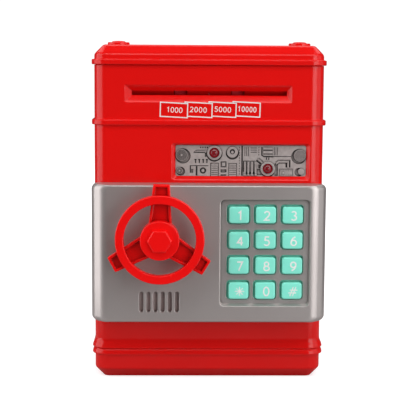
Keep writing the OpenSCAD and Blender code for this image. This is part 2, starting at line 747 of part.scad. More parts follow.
module key(i) color(mint) translate([key_places[i][0], 0, key_places[i][1]]) {
    upright(key_front, key_flange_y + eps) rounded(key_w, key_h, 1.5);
    upright(key_flange_y, key_flange_y + key_flange_t) rounded(key_w + 2.8, key_h + 2.8, 1.8);
}

// ---------- hand wheel and latch ----------

// The wheel's own axes: X right, Y up the door, Z out of the door
module on_wheel() translate([wheel_x, 0, wheel_z]) rotate([90, 0, 0]) children();

module hand_wheel() color(red) on_wheel() difference() {
    union() {
        rotate_extrude() polygon([[ring_ri, ring_back + 0.6], [ring_ri + 0.6, ring_back],
            [ring_ro - 0.6, ring_back], [ring_ro, ring_back + 0.6], [ring_ro, ring_front - 1],
            [ring_ro - 1, ring_front], [ring_ri + 1, ring_front], [ring_ri, ring_front - 1]]);
        rotate_extrude() polygon([[0, 61.9], [7.5, 61.9], [7.5, 67.6], [9.8, 68.6], [hub_r, 69.6],
            [hub_r, hub_front - 0.8], [hub_r - 0.8, hub_front], [0, hub_front]]);
        for (a = [90, 210, 330]) rotate(a + spoke_turn) {
            translate([0, 0, 69.5]) linear_extrude(2.4)
                polygon([[0, -7], [spoke_tip, -4.6], [spoke_tip, 4.6], [0, 7]]);
            translate([0, 0, 71.5]) linear_extrude(1.7) difference() {
                polygon([[0, -7], [spoke_tip, -4.6], [spoke_tip, 4.6], [0, 7]]);
                polygon([[0, -5.4], [spoke_tip - 1.5, -3.15], [spoke_tip - 1.5, 3.15], [0, 5.4]]);
            }
        }
    }
    translate([0, 0, 60]) cylinder(h = shaft_front - 60, r = shaft_r);
    translate([0, 0, shaft_front + 0.2]) cylinder(h = 5, r = 5);
}

module hub_cap() color(red) on_wheel() {
    translate([0, 0, hub_front]) cylinder(h = 2.5, r = 6.9, $fn = 6);
    translate([0, 0, shaft_front + 0.4]) cylinder(h = hub_front - shaft_front - 0.4 + eps, r = 4.95);
}

module wheel_shaft() color("#d0d0d0") on_wheel() difference() {
    translate([0, 0, shaft_back]) cylinder(h = shaft_front - shaft_back, r = shaft_r);
    translate([0, 0, shaft_back - 1]) cylinder(h = 9, r = 1.2);
}

module lock_disc() color("silver") difference() {
    rod_y(wheel_x, wheel_z, disc_y, disc_y + disc_t, disc_r);
    rod_y(wheel_x, wheel_z, disc_y - 1, disc_y + disc_t + 1, shaft_r);
    slab([wheel_x + disc_r - notch_deep, disc_y - 1, wheel_z - 2.4],
         [wheel_x + disc_r + 1, disc_y + disc_t + 1, wheel_z + 2.4]);
    slab([wheel_x - 2.4, disc_y - 1, wheel_z + disc_r - notch_deep],
         [wheel_x + 2.4, disc_y + disc_t + 1, wheel_z + disc_r + 1]);
}

module latch_tongue() color("silver") on_wheel() translate([0, 0, tongue_front - tongue_t])
    linear_extrude(tongue_t) difference() {
        union() {
            circle(r = 7);
            translate([-4.5, -tongue_l + 4.5]) square([9, tongue_l - 4.5]);
            translate([0, -tongue_l + 4.5]) circle(r = 4.5);
        }
        circle(r = shaft_r);
    }

module latch_screw() color("silver") on_wheel() difference() {
    union() {
        translate([0, 0, shaft_back - 1.6]) cylinder(h = 1.6, r = 4.6);
        translate([0, 0, shaft_back - eps]) cylinder(h = 7, r = 1.2);
    }
    translate([-3, -0.4, shaft_back - 3]) cube([6, 0.8, 2.2]);
    translate([-0.4, -3, shaft_back - 3]) cube([0.8, 6, 2.2]);
}

module strike_plate() color("silver")
    slab([edge_r - body_w / 2, wall_y, wheel_z - 16], [gate_x0 - 0.4, wall_y + 1, wheel_z + 16]);

module hinge_pins() color("silver")
    for (z = lug_z) translate([hinge_x, hinge_y, z - 3.5]) cylinder(h = lug_h + 7, r = pin_r);

// ---------- the nodes ----------

body_shell();
top_lid();
base_tray();
window_panel();
indicator_lenses();
indicator_leds();
indicator_board();
feeder_frame();
note_guide_lower();
note_guide_upper();
note_sensor();
motor();
idler_axle();
coin_chute();
chamber_floor();
control_board();
battery_cells();
battery_contacts();
strike_plate();
hinge_pins();
housing_screws();
door_shell();
door_back();
keypad_membrane();
keypad_board();
speaker();
lock_solenoid();
wheel_bush();
door_screws();
hand_wheel();
hub_cap();
wheel_shaft();
lock_disc();
latch_tongue();
latch_screw();
lock_plunger();
battery_cover();
battery_screw();
drive_shaft();
drive_tyres();
drive_gears();
pinch_shaft();
pinch_tyres();
pinch_gear();
idler_gear();
motor_pinion();
key(0);  // key_1
key(1);  // key_2
key(2);  // key_3
key(3);  // key_4
key(4);  // key_5
key(5);  // key_6
key(6);  // key_7
key(7);  // key_8
key(8);  // key_9
key(9);  // key_star
key(10);  // key_0
key(11);  // key_hash
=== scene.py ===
"""Looks of the toy cash-machine savings bank: shells, relief window, keys, wheel and studio."""

from math import cos, dist, pi, radians, sin, sqrt, tan

import bmesh
import bpy
from mathutils import Matrix, Vector


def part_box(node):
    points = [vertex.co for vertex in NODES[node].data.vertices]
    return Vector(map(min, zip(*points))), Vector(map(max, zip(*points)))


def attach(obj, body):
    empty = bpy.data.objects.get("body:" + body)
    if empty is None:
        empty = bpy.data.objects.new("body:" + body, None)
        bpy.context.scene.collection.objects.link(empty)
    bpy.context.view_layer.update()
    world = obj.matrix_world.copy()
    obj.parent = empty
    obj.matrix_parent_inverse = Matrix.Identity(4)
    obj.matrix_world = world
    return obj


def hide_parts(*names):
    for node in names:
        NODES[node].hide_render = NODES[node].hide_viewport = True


MM = 0.001

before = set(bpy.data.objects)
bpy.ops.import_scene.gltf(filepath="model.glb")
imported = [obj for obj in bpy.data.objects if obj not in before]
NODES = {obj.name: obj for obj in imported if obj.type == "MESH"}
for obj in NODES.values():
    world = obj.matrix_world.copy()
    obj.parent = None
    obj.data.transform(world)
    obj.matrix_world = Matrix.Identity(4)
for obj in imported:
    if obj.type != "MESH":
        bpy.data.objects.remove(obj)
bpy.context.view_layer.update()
SCENE = bpy.context.scene


def box_mm(node):
    """Lowest and highest corner of a CAD node, in millimetres."""
    low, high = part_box(node)
    return low / MM, high / MM


# ---------- places worked out from the frame, in millimetres ----------

DOOR_LOW, DOOR_HIGH = box_mm("door_shell")
BACK_PLATE_RIGHT = box_mm("door_back")[1].x
WHEEL_LOW, WHEEL_HIGH = box_mm("hand_wheel")
SHAFT_LOW, SHAFT_HIGH = box_mm("wheel_shaft")

WALL = 2.4
DOOR_FRONT = DOOR_LOW.y
DOOR_BACK = DOOR_HIGH.y
DOOR_R = 9.5
DOOR_FILLET = 1.2
DOOR_CORNER = 3.0
HINGE_R = 5.0
HINGE_X = DOOR_HIGH.x - HINGE_R
HINGE_Y = DOOR_FRONT + DOOR_R
# the turned spokes make the wheel's box uneven: its middle is 0.33 mm left of the shaft
WHEEL_X = (WHEEL_LOW.x + WHEEL_HIGH.x) / 2
WHEEL_Z = (SHAFT_LOW.z + SHAFT_HIGH.z) / 2
KEYS = [*"123456789", "star", "0", "hash"]
KEY_W = 11.3
KEY_H = 9.4


# ---------- mesh tools ----------

LIP_ANGLES = (22, 45, 67, 90)
BEVEL_OVER = radians(28)
SHARP_OVER = radians(38)


def linked(name, data):
    """A new object in the scene with this mesh, light or camera."""
    thing = bpy.data.objects.new(name, data)
    SCENE.collection.objects.link(thing)
    return thing


def new_object(name, bm):
    """Turns a bmesh in millimetres into a smooth-shaded object in metres."""
    bmesh.ops.recalc_face_normals(bm, faces=bm.faces)
    bmesh.ops.scale(bm, vec=(MM, MM, MM), verts=bm.verts)
    mesh = bpy.data.meshes.new(name)
    bm.to_mesh(mesh)
    bm.free()
    mesh.shade_smooth()
    return linked(name, mesh)


def loft(name, rings, closed=False):
    """A skin over rings of equally many points, closed to a loop or with a flat cap at each end."""
    bm = bmesh.new()
    rows = [[bm.verts.new(p) for p in ring] for ring in rings]
    if closed:
        rows.append(rows[0])
    else:
        bm.faces.new(rows[0][::-1])
        bm.faces.new(rows[-1])
    count = len(rows[0])
    for a, b in zip(rows, rows[1:]):
        for i in range(count):
            j = (i + 1) % count
            bm.faces.new((a[i], a[j], b[j], b[i]))
    return new_object(name, bm)


def arc(cx, cz, rx, rz, start, end, steps=14):
    """Points along an ellipse from one angle to another, both ends included."""
    return [(cx + rx * cos(radians(start + (end - start) * k / steps)),
             cz + rz * sin(radians(start + (end - start) * k / steps)))
            for k in range(steps + 1)]


def circle(cx, cy, r, step=12):
    """Points round a circle, step degrees apart."""
    return [(cx + r * cos(radians(a)), cy + r * sin(radians(a)))
            for a in range(0, 360, step)]


def rounded(x0, x1, z0, z1, r, steps=8):
    """Outline of a rectangle with round corners, anticlockwise from the lower right corner."""
    corners = [(x1 - r, z0 + r, -90), (x1 - r, z1 - r, 0), (x0 + r, z1 - r, 90), (x0 + r, z0 + r, 180)]
    return [point for cx, cz, start in corners for point in arc(cx, cz, r, r, start, start + 90, steps)]


def grown(sides, grow, r, steps):
    """Outline of a rectangle with round corners, pushed outwards by grow all round."""
    x0, x1, z0, z1 = sides
    return rounded(x0 - grow, x1 + grow, z0 - grow, z1 + grow, r + grow, steps)


def around(x, z, half_w, half_h):
    """Sides of a rectangle about its middle."""
    return x - half_w, x + half_w, z - half_h, z + half_h


def facing(outline, y):
    """Puts a flat outline upright, at depth y."""
    return [(x, y, z) for x, z in outline]


def slab(name, outline, y0, y1):
    """An upright outline pushed from depth y0 to y1."""
    return loft(name, [facing(outline, y0), facing(outline, y1)])


def prism(name, outline, z0, z1):
    """A plan outline pushed from height z0 to z1."""
    return loft(name, [[(x, y, z0) for x, y in outline], [(x, y, z1) for x, y in outline]])


def brick(name, low, high):
    """A plain cuboid cutter or block."""
    outline = [(high[0], low[2]), (high[0], high[2]), (low[0], high[2]), (low[0], low[2])]
    return slab(name, outline, low[1], high[1])


def lathe(name, profile, centre, steps=96):
    """Turns (radius, depth) points about an axis along Y through centre (x, z)."""
    bm = bmesh.new()
    rows = []
    for r, y in profile:
        ring = arc(*centre, r, r, 0, 360, steps)[:-1] if r > 1e-6 else [centre]
        rows.append([bm.verts.new((x, y, z)) for x, z in ring])
    pairs = list(zip(rows, rows[1:]))
    if len(rows[0]) > 1 and len(rows[-1]) > 1:
        pairs.append((rows[-1], rows[0]))
    for a, b in pairs:
        for i in range(steps):
            j = (i + 1) % steps
            corners = dict.fromkeys((a[i % len(a)], a[j % len(a)], b[j % len(b)], b[i % len(b)]))
            if len(corners) > 2:
                bm.faces.new(list(corners))
    return new_object(name, bm)


def rod(name, centre, r, y0, y1, steps=48):
    """A cylinder along Y."""
    return lathe(name, [(0, y0), (r, y0), (r, y1), (0, y1)], centre, steps)


def lip_rings(lip, y, angles=LIP_ANGLES):
    """(grow, depth) pairs of a round lip of radius lip, from in front of the face at y inwards."""
    turns = [radians(a) for a in angles]
    rings = [(lip * (1 - sin(a)), y + lip * (1 - cos(a))) for a in turns]
    return [(lip, y - 1), (lip, y)] + rings


def lipped(name, sides, r, lip, y0, y1, steps=7, angles=LIP_ANGLES):
    """A cutter for an upright opening from y0 to y1, with a round lip at its mouth y0."""
    rings = lip_rings(lip, y0, angles) + [(0, y1)]
    return loft(name, [facing(grown(sides, grow, r, steps), y) for grow, y in rings])


def moved(piece, angle, axis, to):
    """Turns a piece by an angle in degrees about an axis, then moves it by to, in millimetres."""
    turn = Matrix.Rotation(radians(angle), 4, axis)
    piece.data.transform(Matrix.Translation(Vector(to) * MM) @ turn)
    return piece


def joined(name, pieces):
    """One object with the meshes of several."""
    bm = bmesh.new()
    for piece in pieces:
        bm.from_mesh(piece.data)
        discard(piece)
    mesh = bpy.data.meshes.new(name)
    bm.to_mesh(mesh)
    bm.free()
    return linked(name, mesh)


def discard(piece):
    """Removes a piece and its mesh."""
    mesh = piece.data
    bpy.data.objects.remove(piece)
    bpy.data.meshes.remove(mesh)


def carve(piece, tools, operation="DIFFERENCE"):
    """Cuts tools out of a piece, or adds them to it, one after another."""
    for tool in tools:
        cut = piece.modifiers.new("cut", "BOOLEAN")
        cut.operation = operation
        cut.solver = "MANIFOLD"
        cut.object = tool
        baked(piece)
        discard(tool)
    tidy_mesh(piece.data)
    return piece


def tidy_mesh(mesh):
    """Welds doubles, and dissolves the seams inside flat faces where the mesh stays closed."""
    bm = bmesh.new()
    bm.from_mesh(mesh)
    bmesh.ops.remove_doubles(bm, verts=bm.verts, dist=1e-7)
    flat = bm.copy()
    bmesh.ops.dissolve_limit(flat, angle_limit=radians(0.5), verts=flat.verts, edges=flat.edges)
    stays_closed = all(edge.is_manifold for edge in flat.edges)
    (flat if stays_closed else bm).to_mesh(mesh)
    flat.free()
    bm.free()
    mesh.shade_smooth()


def baked(piece):
    """Applies the modifiers of a piece to its mesh."""
    depsgraph = bpy.context.evaluated_depsgraph_get()
    mesh = bpy.data.meshes.new_from_object(piece.evaluated_get(depsgraph))
    old = piece.data
    piece.modifiers.clear()
    piece.data = mesh
    bpy.data.meshes.remove(old)
    return piece


def soften(piece, width, segments=3):
    """Rounds the sharp edges by width, in millimetres."""
    bevel = piece.modifiers.new("round_edges", "BEVEL")
    bevel.width = width * MM
    bevel.segments = segments
    bevel.limit_method = "ANGLE"
    bevel.angle_limit = BEVEL_OVER
    bevel.miter_outer = "MITER_ARC"
    bevel.use_clamp_overlap = True
    return baked(piece)


def copy_of(node):
    """The mesh of a CAD node as a new piece, welded and without its split normals."""
    mesh = NODES[node].data.copy()
    mesh.materials.clear()
    for layer in ("custom_normal", "sharp_edge", "sharp_face"):
        if layer in mesh.attributes:
            mesh.attributes.remove(mesh.attributes[layer])
    tidy_mesh(mesh)
    return linked(node + "_look", mesh)


def place(piece, body, slot, material, *replaced):
    """Gives a piece its material and its body, and hides the nodes it replaces; its slot is not used."""
    piece.data.materials.clear()
    piece.data.materials.append(material)
    piece.data.set_sharp_from_angle(angle=SHARP_OVER)
    normals = piece.modifiers.new("flat_normals", "WEIGHTED_NORMAL")
    normals.keep_sharp = True
    normals.weight = 60
    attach(piece, body)
    if replaced:
        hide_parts(*replaced)


# ---------- materials ----------

class Nodes:
    """A small helper around one material's node tree."""

    def __init__(self, name):
        self.material = bpy.data.materials.new(name)
        self.material.use_nodes = True
        self.tree = self.material.node_tree
        self.shader = self.tree.nodes["Principled BSDF"]
        self.where = self.add("ShaderNodeTexCoord").outputs["Object"]

    def add(self, kind, **settings):
        """A new node with these settings."""
        node = self.tree.nodes.new(kind)
        for key, value in settings.items():
            setattr(node, key, value)
        return node

    def link(self, a, b):
        """Leads an output to an input."""
        self.tree.links.new(a, b)

    def put(self, socket, value):
        """Feeds a socket of the shader with a node's output or with a plain number."""
        if isinstance(value, (int, float)):
            self.shader.inputs[socket].default_value = value
        else:
            self.link(value, self.shader.inputs[socket])

    def noise(self, scale, detail, stretch=(1, 1, 1)):
        """Noise with a scale in cells per metre."""
        mapping = self.add("ShaderNodeMapping")
        mapping.inputs["Scale"].default_value = stretch
        self.link(self.where, mapping.inputs["Vector"])
        noise = self.add("ShaderNodeTexNoise")
        noise.inputs["Scale"].default_value = scale
        noise.inputs["Detail"].default_value = detail
        self.link(mapping.outputs["Vector"], noise.inputs["Vector"])
        return noise.outputs["Fac"]

    def ramp(self, value, a, b, low=0.3, high=0.7):
        """A value from low to high turned into a colour from a to b."""
        ramp = self.add("ShaderNodeValToRGB")
        for stop, position, colour in zip(ramp.color_ramp.elements, (low, high), (a, b)):
            stop.position = position
            stop.color = (*colour, 1)
        self.link(value, ramp.inputs["Fac"])
        return ramp.outputs["Color"]

    def depth(self, distance, low, high, dark, light=(1, 1, 1), samples=16, own=True):
        """Painted shade: the light colour on open faces, going to dark in corners where less light
        reaches; own leaves other pieces out.
        """
        reach = self.add("ShaderNodeAmbientOcclusion", samples=samples, only_local=own)
        reach.inputs["Distance"].default_value = distance
        return self.ramp(reach.outputs["AO"], dark, light, low, high)

    def multiplied(self, a, b):
        """Two colours multiplied."""
        mix = self.add("ShaderNodeMix", data_type="RGBA", blend_type="MULTIPLY")
        mix.inputs["Factor"].default_value = 1
        self.link(a, mix.inputs["A"])
        self.link(b, mix.inputs["B"])
        return mix.outputs["Result"]

    def span(self, value, a, b):
        """A noise value turned into a number from a to b."""
        span = self.add("ShaderNodeMapRange")
        span.inputs["From Min"].default_value = 0.3
        span.inputs["From Max"].default_value = 0.7
        span.inputs["To Min"].default_value = a
        span.inputs["To Max"].default_value = b
        self.link(value, span.inputs["Value"])
        return span.outputs["Result"]

    def bump(self, height, distance, strength, under=None):
        """Surface relief of a distance in metres."""
        bump = self.add("ShaderNodeBump")
        bump.inputs["Distance"].default_value = distance
        bump.inputs["Strength"].default_value = strength
        self.link(height, bump.inputs["Height"])
        if under is not None:
            self.link(under, bump.inputs["Normal"])
        return bump.outputs["Normal"]


def tint(colour, factor):
    """A colour multiplied by a factor, with no channel above 1."""
    return tuple(min(1.0, c * factor) for c in colour)


def moulded(name, colour, rough, spread=0.05, grain=2500, relief=4e-6, specular=0.5, corner_shade=None):
    """Injection-moulded plastic: faint mottling, uneven gloss and a fine skin texture.

    Where a corner shade is given, it is painted shade laid into narrow corners, where less light gets in."""
    n = Nodes(name)
    base = n.ramp(n.noise(38, 4), tint(colour, 1 - spread), tint(colour, 1 + spread))
    # painted shade: the base colour is darkened in narrow corners, where less light gets in
    if corner_shade:
        base = n.multiplied(base, n.depth(7 * MM, 0.4, 0.92, (corner_shade,) * 3))
    n.put("Base Color", base)
    n.put("Roughness", n.span(n.noise(60, 3), rough - 0.02, rough + 0.03))
    waves = n.bump(n.noise(150, 1), 6e-6, 0.5)
    n.put("Normal", n.bump(n.noise(grain, 2), relief, 0.7, waves))
    n.put("Specular IOR Level", specular)
    return n.material


def silver_paint(name):
    """Satin silver paint with painted shade: darker in corners and recesses, where less light reaches."""
    n = Nodes(name)
    grain = n.noise(2600, 2)
    base = n.ramp(grain, (0.49, 0.445, 0.434), (0.52, 0.474, 0.462))
    # painted shade: occlusion darkens the paint in corners and recesses
    painted_shade = n.depth(2.6 * MM, 0.3, 0.8, (0.12, 0.11, 0.11))
    n.put("Base Color", n.multiplied(base, painted_shade))
    n.put("Roughness", n.span(n.noise(60, 3), 0.33, 0.37))
    n.put("Normal", n.bump(grain, 1e-6, 0.4))
    n.put("Metallic", 0.65)
    return n.material


def relief_grey(name):
    """Grey relief moulding with painted shade darkening its corners and crevices, where less light
    reaches.
    """
    n = Nodes(name)
    # painted shade: the grey goes almost black in crevices and next to raised parts
    crevice_shade = n.depth(1.3 * MM, 0.45, 0.98, (0.02, 0.015, 0.015), (0.44, 0.39, 0.375), 12, False)
    mottle = n.ramp(n.noise(500, 4), (0.86, 0.85, 0.85), (1.08, 1.08, 1.08))
    n.put("Base Color", n.multiplied(crevice_shade, mottle))
    n.put("Roughness", n.span(n.noise(1500, 3), 0.4, 0.55))
    n.put("Normal", n.bump(n.noise(3500, 3), 8e-6, 0.5))
    n.put("Metallic", 0.25)
    return n.material


def lens_red(name):
    """Deep red glossy plastic with a clear coat."""
    n = Nodes(name)
    n.put("Base Color", n.ramp(n.noise(700, 3), (0.17, 0.003, 0.008), (0.27, 0.006, 0.012)))
    n.put("Roughness", n.span(n.noise(900, 2), 0.08, 0.16))
    n.put("Coat Weight", 0.6)
    return n.material


def metal(name, colour, rough):
    """Plated steel with fine drawn lines along X."""
    n = Nodes(name)
    lines = n.noise(900, 3, stretch=(0.05, 1, 1))
    n.put("Base Color", n.ramp(lines, tint(colour, 0.85), tint(colour, 1.08)))
    n.put("Roughness", n.span(lines, rough - 0.06, rough + 0.08))
    n.put("Normal", n.bump(lines, 4e-6, 0.5))
    n.put("Metallic", 1)
    return n.material


def printed(name, colour):
    """Printed ink: matt, slightly uneven in density."""
    n = Nodes(name)
    n.put("Base Color", n.ramp(n.noise(1800, 3), tint(colour, 0.94), tint(colour, 1.02)))
    n.put("Roughness", n.span(n.noise(2500, 2), 0.5, 0.6))
    return n.material


RED = moulded("housing_red", (0.79, 0.005, 0.004), 0.17, 0.02, specular=0.34)
ROOF_RED = moulded("housing_red_satin", (0.79, 0.005, 0.004), 0.36, 0.02, specular=0.14)
# painted light: the wheel's red is a lighter copy of the housing red for the stronger light on its
# forward faces; its corners carry painted shade
LIT_WHEEL_RED = moulded("wheel_red_lit", (0.94, 0.004, 0.004), 0.25, 0.02, specular=0.3, corner_shade=0.56)
INNER_RED = moulded("inner_red", (0.76, 0.005, 0.004), 0.4)
SILVER = silver_paint("door_silver")
MINT = moulded("key_mint", (0.262, 0.92, 0.74), 0.42, 0.04)
GREY = relief_grey("panel_grey")
LENS = lens_red("lens_red")
CLEAR = moulded("led_clear", (0.8, 0.75, 0.7), 0.15)
GREEN = moulded("board_green", (0.02, 0.13, 0.045), 0.35, 0.15, 900)
PALE = moulded("silicone_pale", (0.66, 0.82, 0.77), 0.6)
STEEL = metal("steel", (0.6, 0.6, 0.62), 0.28)
NYLON = moulded("shaft_nylon", (0.8, 0.78, 0.7), 0.4)
CELL = moulded("cell_case", (0.035, 0.035, 0.04), 0.25, 0.1)
BLACK = moulded("black_plastic", (0.016, 0.016, 0.018), 0.4, 0.15)
RUBBER = moulded("roller_rubber", (0.85, 0.035, 0.05), 0.7, 0.1, 3500, 1.5e-5)
FELT = moulded("speaker_felt", (0.4, 0.33, 0.32), 0.8, 0.12, 1500, 4e-5)
WHITE = printed("white_ink", (0.86, 0.84, 0.82))
GLYPH = printed("glyph_ink", (0.93, 0.95, 0.91))


# ---------- housing ----------

# rectangles go from low to high x, then from low to high y or z
HOUSE = (-65.0, 65.0, -47.5, 47.5)
HOUSE_FRONT = HOUSE[2]
EDGE_R = 8.0
RIB = 1.5
MIDDLE_RIB = (145.7, 148.7)
LID_Z = 179.4
ROOF_Z = 190.6
CHAMFER = 5.3
TRAY_TOP = 17.3
SKIN = 2.25
CORE_IN = 1.2
LUG_ROOM = ((48, -60, 40.5), (66.5, -46.2, 108.5))
DOORWAY = (-52, 50, 42, 107)
SLOT = (-43.7, 43.7, 162.45, 164.95)
SLOT_MOUTH = (-47.3, 46.3, 158.7, 168.1)
COIN_SLOT = (-15, 15, 16.2, 19.8)
BOSSES = [(-51.5, -33.0), (51.5, -33.0)]
BATTERY_ROOMS = [("bay", (5, -28, -1), (55, 28, 2.1)), ("tab", (24, 0, -1), (36, 35, 2.1)),
                 ("cells", (6, -27, 2.0), (54, 27, 18))]
FOOT_SCREWS = [(x, y) for x in (-52, 52) for y in (-36, 36)]
SCREW_HEAD_R = 3.25
SCREW_R = 1.65


def plan(grow, z):
    """Outline of the housing in plan, grown outwards by grow, at height z."""
    return [(x, y, z) for x, y in grown(HOUSE, grow, EDGE_R, 10)]


def corner(from_grow, from_z, to_grow, to_z, outward):
    """A quarter turn of the housing's profile, bulging outwards or hollow."""
    reach = (to_grow - from_grow, to_z - from_z)
    if outward:
        return arc(from_grow, to_z, *reach, -90, 0, 4)
    return arc(to_grow, from_z, *reach, 180, 90, 4)


def band(name, profile):
    """A solid of the housing's plan that follows a profile of (grow, height) points."""
    least = 0.004
    clean = [profile[0]]
    for grow, z in profile[1:]:
        if z - clean[-1][1] > least or abs(grow - clean[-1][0]) > least:
            clean.append((grow, z))
    return loft(name, [plan(grow, z) for grow, z in clean])


def rib(z0, z1):
    """Profile of a rib from z0 to z1 with soft edges and a soft root."""
    r = 0.6
    root = 0.3
    return (corner(0, z0 - root, root, z0, False) + corner(RIB - r, z0, RIB, z0 + r, True)
            + corner(RIB, z1 - r, RIB - r, z1, False) + corner(root, z1, 0, z1 + root, True))


def sloping(name, outer, inner, y0, y1, r_outer, r_inner):
    """A cutter for a pocket whose sides slope from the outer rectangle to the inner one."""
    lip = 0.35

    def ring(share, grow, y):
        sides = [a + (b - a) * share for a, b in zip(outer, inner)]
        return facing(grown(sides, grow, r_outer + (r_inner - r_outer) * share, 6), y)

    return loft(name, [ring(0, lip, y0 - 1), ring(0, lip, y0), ring(0, 0.3 * lip, y0 + 0.3 * lip),
                       ring(0.25, 0, y0 + 0.25 * (y1 - y0)), ring(1, 0, y1)])


def plan_block(name, grow, z0, z1):
    """The housing's plan, grown outwards by grow, from height z0 to z1."""
    return loft(name, [plan(grow, z0), plan(grow, z1)])


def add_core(shell, node, keep):
    """Joins to a shell the ribs and posts of its CAD node, as far as they lie inside keep."""
    carve(shell, [carve(copy_of(node), [keep], "INTERSECT")], "UNION")


def make_body_shell():
    """The tall housing: seam over the tray, flared foot, middle rib and the openings of its front."""
    foot = TRAY_TOP
    front = HOUSE_FRONT
    profile = [(0.5, foot + 0.1), (0.5, foot + 0.4)]
    profile += corner(RIB - 0.3, foot + 0.4, RIB, foot + 0.7, True)
    profile += [(RIB, foot + 0.9), (RIB - 0.1, foot + 1.5), (RIB - 0.42, foot + 2.4), (0.62, foot + 3.4),
                (0.24, foot + 4.4), (0.06, foot + 5.3), (0, foot + 6.1)]
    profile += rib(*MIDDLE_RIB)
    profile += [(0, LID_Z - 0.5)] + corner(0, LID_Z - 0.5, -0.35, LID_Z - 0.1, False)
    shell = band("housing_shell", profile)
    carve(shell, [plan_block("hollow", -SKIN, 0, 200)])
    keep = plan_block("keep", -CORE_IN, 0, 200)
    add_core(shell, "body_shell", carve(keep, [brick("lugs", *LUG_ROOM)], "UNION"))
    window_rim = [side + wider for side, wider in zip(WINDOW, (-2, 2, -2.1, 0.9))]
    carve(shell, [lipped("doorway", DOORWAY, 0.6, 0.5, front, front + 7.5, 6, (22.5, 45, 67.5, 90)),
                  sloping("slot_pocket", SLOT_MOUTH, SLOT, front, front + 3, 0.4, 0.3),
                  slab("slot", rounded(*SLOT, 0.25, 3), front, front + 4.5),
                  sloping("window_pocket", window_rim, WINDOW, front, front + 2, 1.2, 1.1),
                  slab("window", rounded(*WINDOW, 1.1, 6), front, front + 3.5)])
    place(shell, "root", "housing_red", RED, "body_shell")


def make_lid():
    """The roof with its chamfer, rib, two front bosses and coin slot; its flat top is satin."""
    top = ROOF_Z
    slope = top - CHAMFER
    profile = [(-0.25, LID_Z), (RIB - 0.6, LID_Z)] + corner(RIB - 0.6, LID_Z, RIB, LID_Z + 0.6, True)
    profile += corner(RIB, LID_Z + 2.4, RIB - 0.6, LID_Z + 3, False)
    profile += corner(0.4, LID_Z + 3, 0, LID_Z + 3.4, True)
    profile += [(0, slope - 1.0), (-0.1, slope - 0.3), (-0.45, slope + 0.35),
                (0.9 - CHAMFER, top - 0.9), (0.2 - CHAMFER, top - 0.35),
                (-0.7 - CHAMFER, top - 0.05), (-1.4 - CHAMFER, top)]
    lid = band("lid", profile)
    carve(lid, [loft("hollow", [plan(-WALL - 1.9, LID_Z - 1), plan(-WALL - 1.9, top - WALL - 2.9),
                                plan(-WALL - 4.9, top - WALL + 0.1)])])
    add_core(lid, "top_lid", plan_block("keep", -CORE_IN, 100, top - CORE_IN))
    for x, y in BOSSES:
        carve(lid, [turned_boss(x, y)], "UNION")
    depths = lip_rings(1.0, -top) + [(0, WALL + 2 - top)]
    carve(lid, [loft("coin_slot", [[(x, y, -depth) for x, y in grown(COIN_SLOT, grow, 0.8, 6)]
                                   for grow, depth in depths])])
    place(lid, "root", "housing_red", RED, "top_lid")
    lid.data.materials.append(ROOF_RED)
    for face in lid.data.polygons:
        if face.normal.z > 0.9:
            face.material_index = 1


def turned_boss(x, y):
    """A round stepped plug that stands on the roof."""
    profile = [(0, -1), (6.2, -1), (6.2, 0.95), (6.05, 1.2), (5.7, 1.3), (4.2, 1.35), (3.9, 1.4),
               (3.6, 1.75), (3.0, 1.95), (2.0, 2.05), (0, 2.1)]
    return moved(lathe("boss", profile, (0, 0), 64), 90, "X", (x, y, ROOF_Z))


def make_tray():
    """The base with its chamfered foot, lower rib, battery bay and screw holes."""
    profile = [(-6.4, 0), (-5.6, 0.02), (-5.0, 0.25), (-0.5, 4.95), (-0.12, 5.6), (0, 6.4)]
    profile += corner(0, 13.65, 0.25, 13.9, False) + corner(RIB - 0.35, 13.9, RIB, 14.25, True)
    profile += [(RIB, TRAY_TOP - 2.4), (RIB - 0.25, TRAY_TOP - 1.5), (RIB - 0.65, TRAY_TOP - 0.6),
                (RIB - 1.1, TRAY_TOP)]
    tray = band("tray", profile)
    hollow = [plan(-SKIN - 4, SKIN), plan(-SKIN, SKIN + 4), plan(-SKIN, TRAY_TOP + 1)]
    carve(tray, [loft("hollow", hollow)])
    foot = -5.6 - CORE_IN
    add_core(tray, "base_tray", loft("keep", [plan(foot, -1), plan(foot, CORE_IN), plan(-CORE_IN, 6.9),
                                              plan(-CORE_IN, 30)]))
    holes = [brick(*room) for room in BATTERY_ROOMS]
    holes.append(prism("cover_screw", circle(30, 31.4, 1.3), -1, 10.05))
    for x, y in FOOT_SCREWS:
        holes.append(prism("screw_head", circle(x, y, SCREW_HEAD_R), -1, 4.05))
        holes.append(prism("screw_hole", circle(x, y, SCREW_R), -1, 29))
    carve(tray, holes)
    place(tray, "root", "housing_red", RED, "base_tray")


def make_cover():
    """The battery cover in its CAD shape, with its edges rounded."""
    cover = soften(copy_of("battery_cover"), 0.25, 2)
    place(cover, "battery_cover", "housing_red", RED, "battery_cover")


# ---------- figures made of strokes ----------

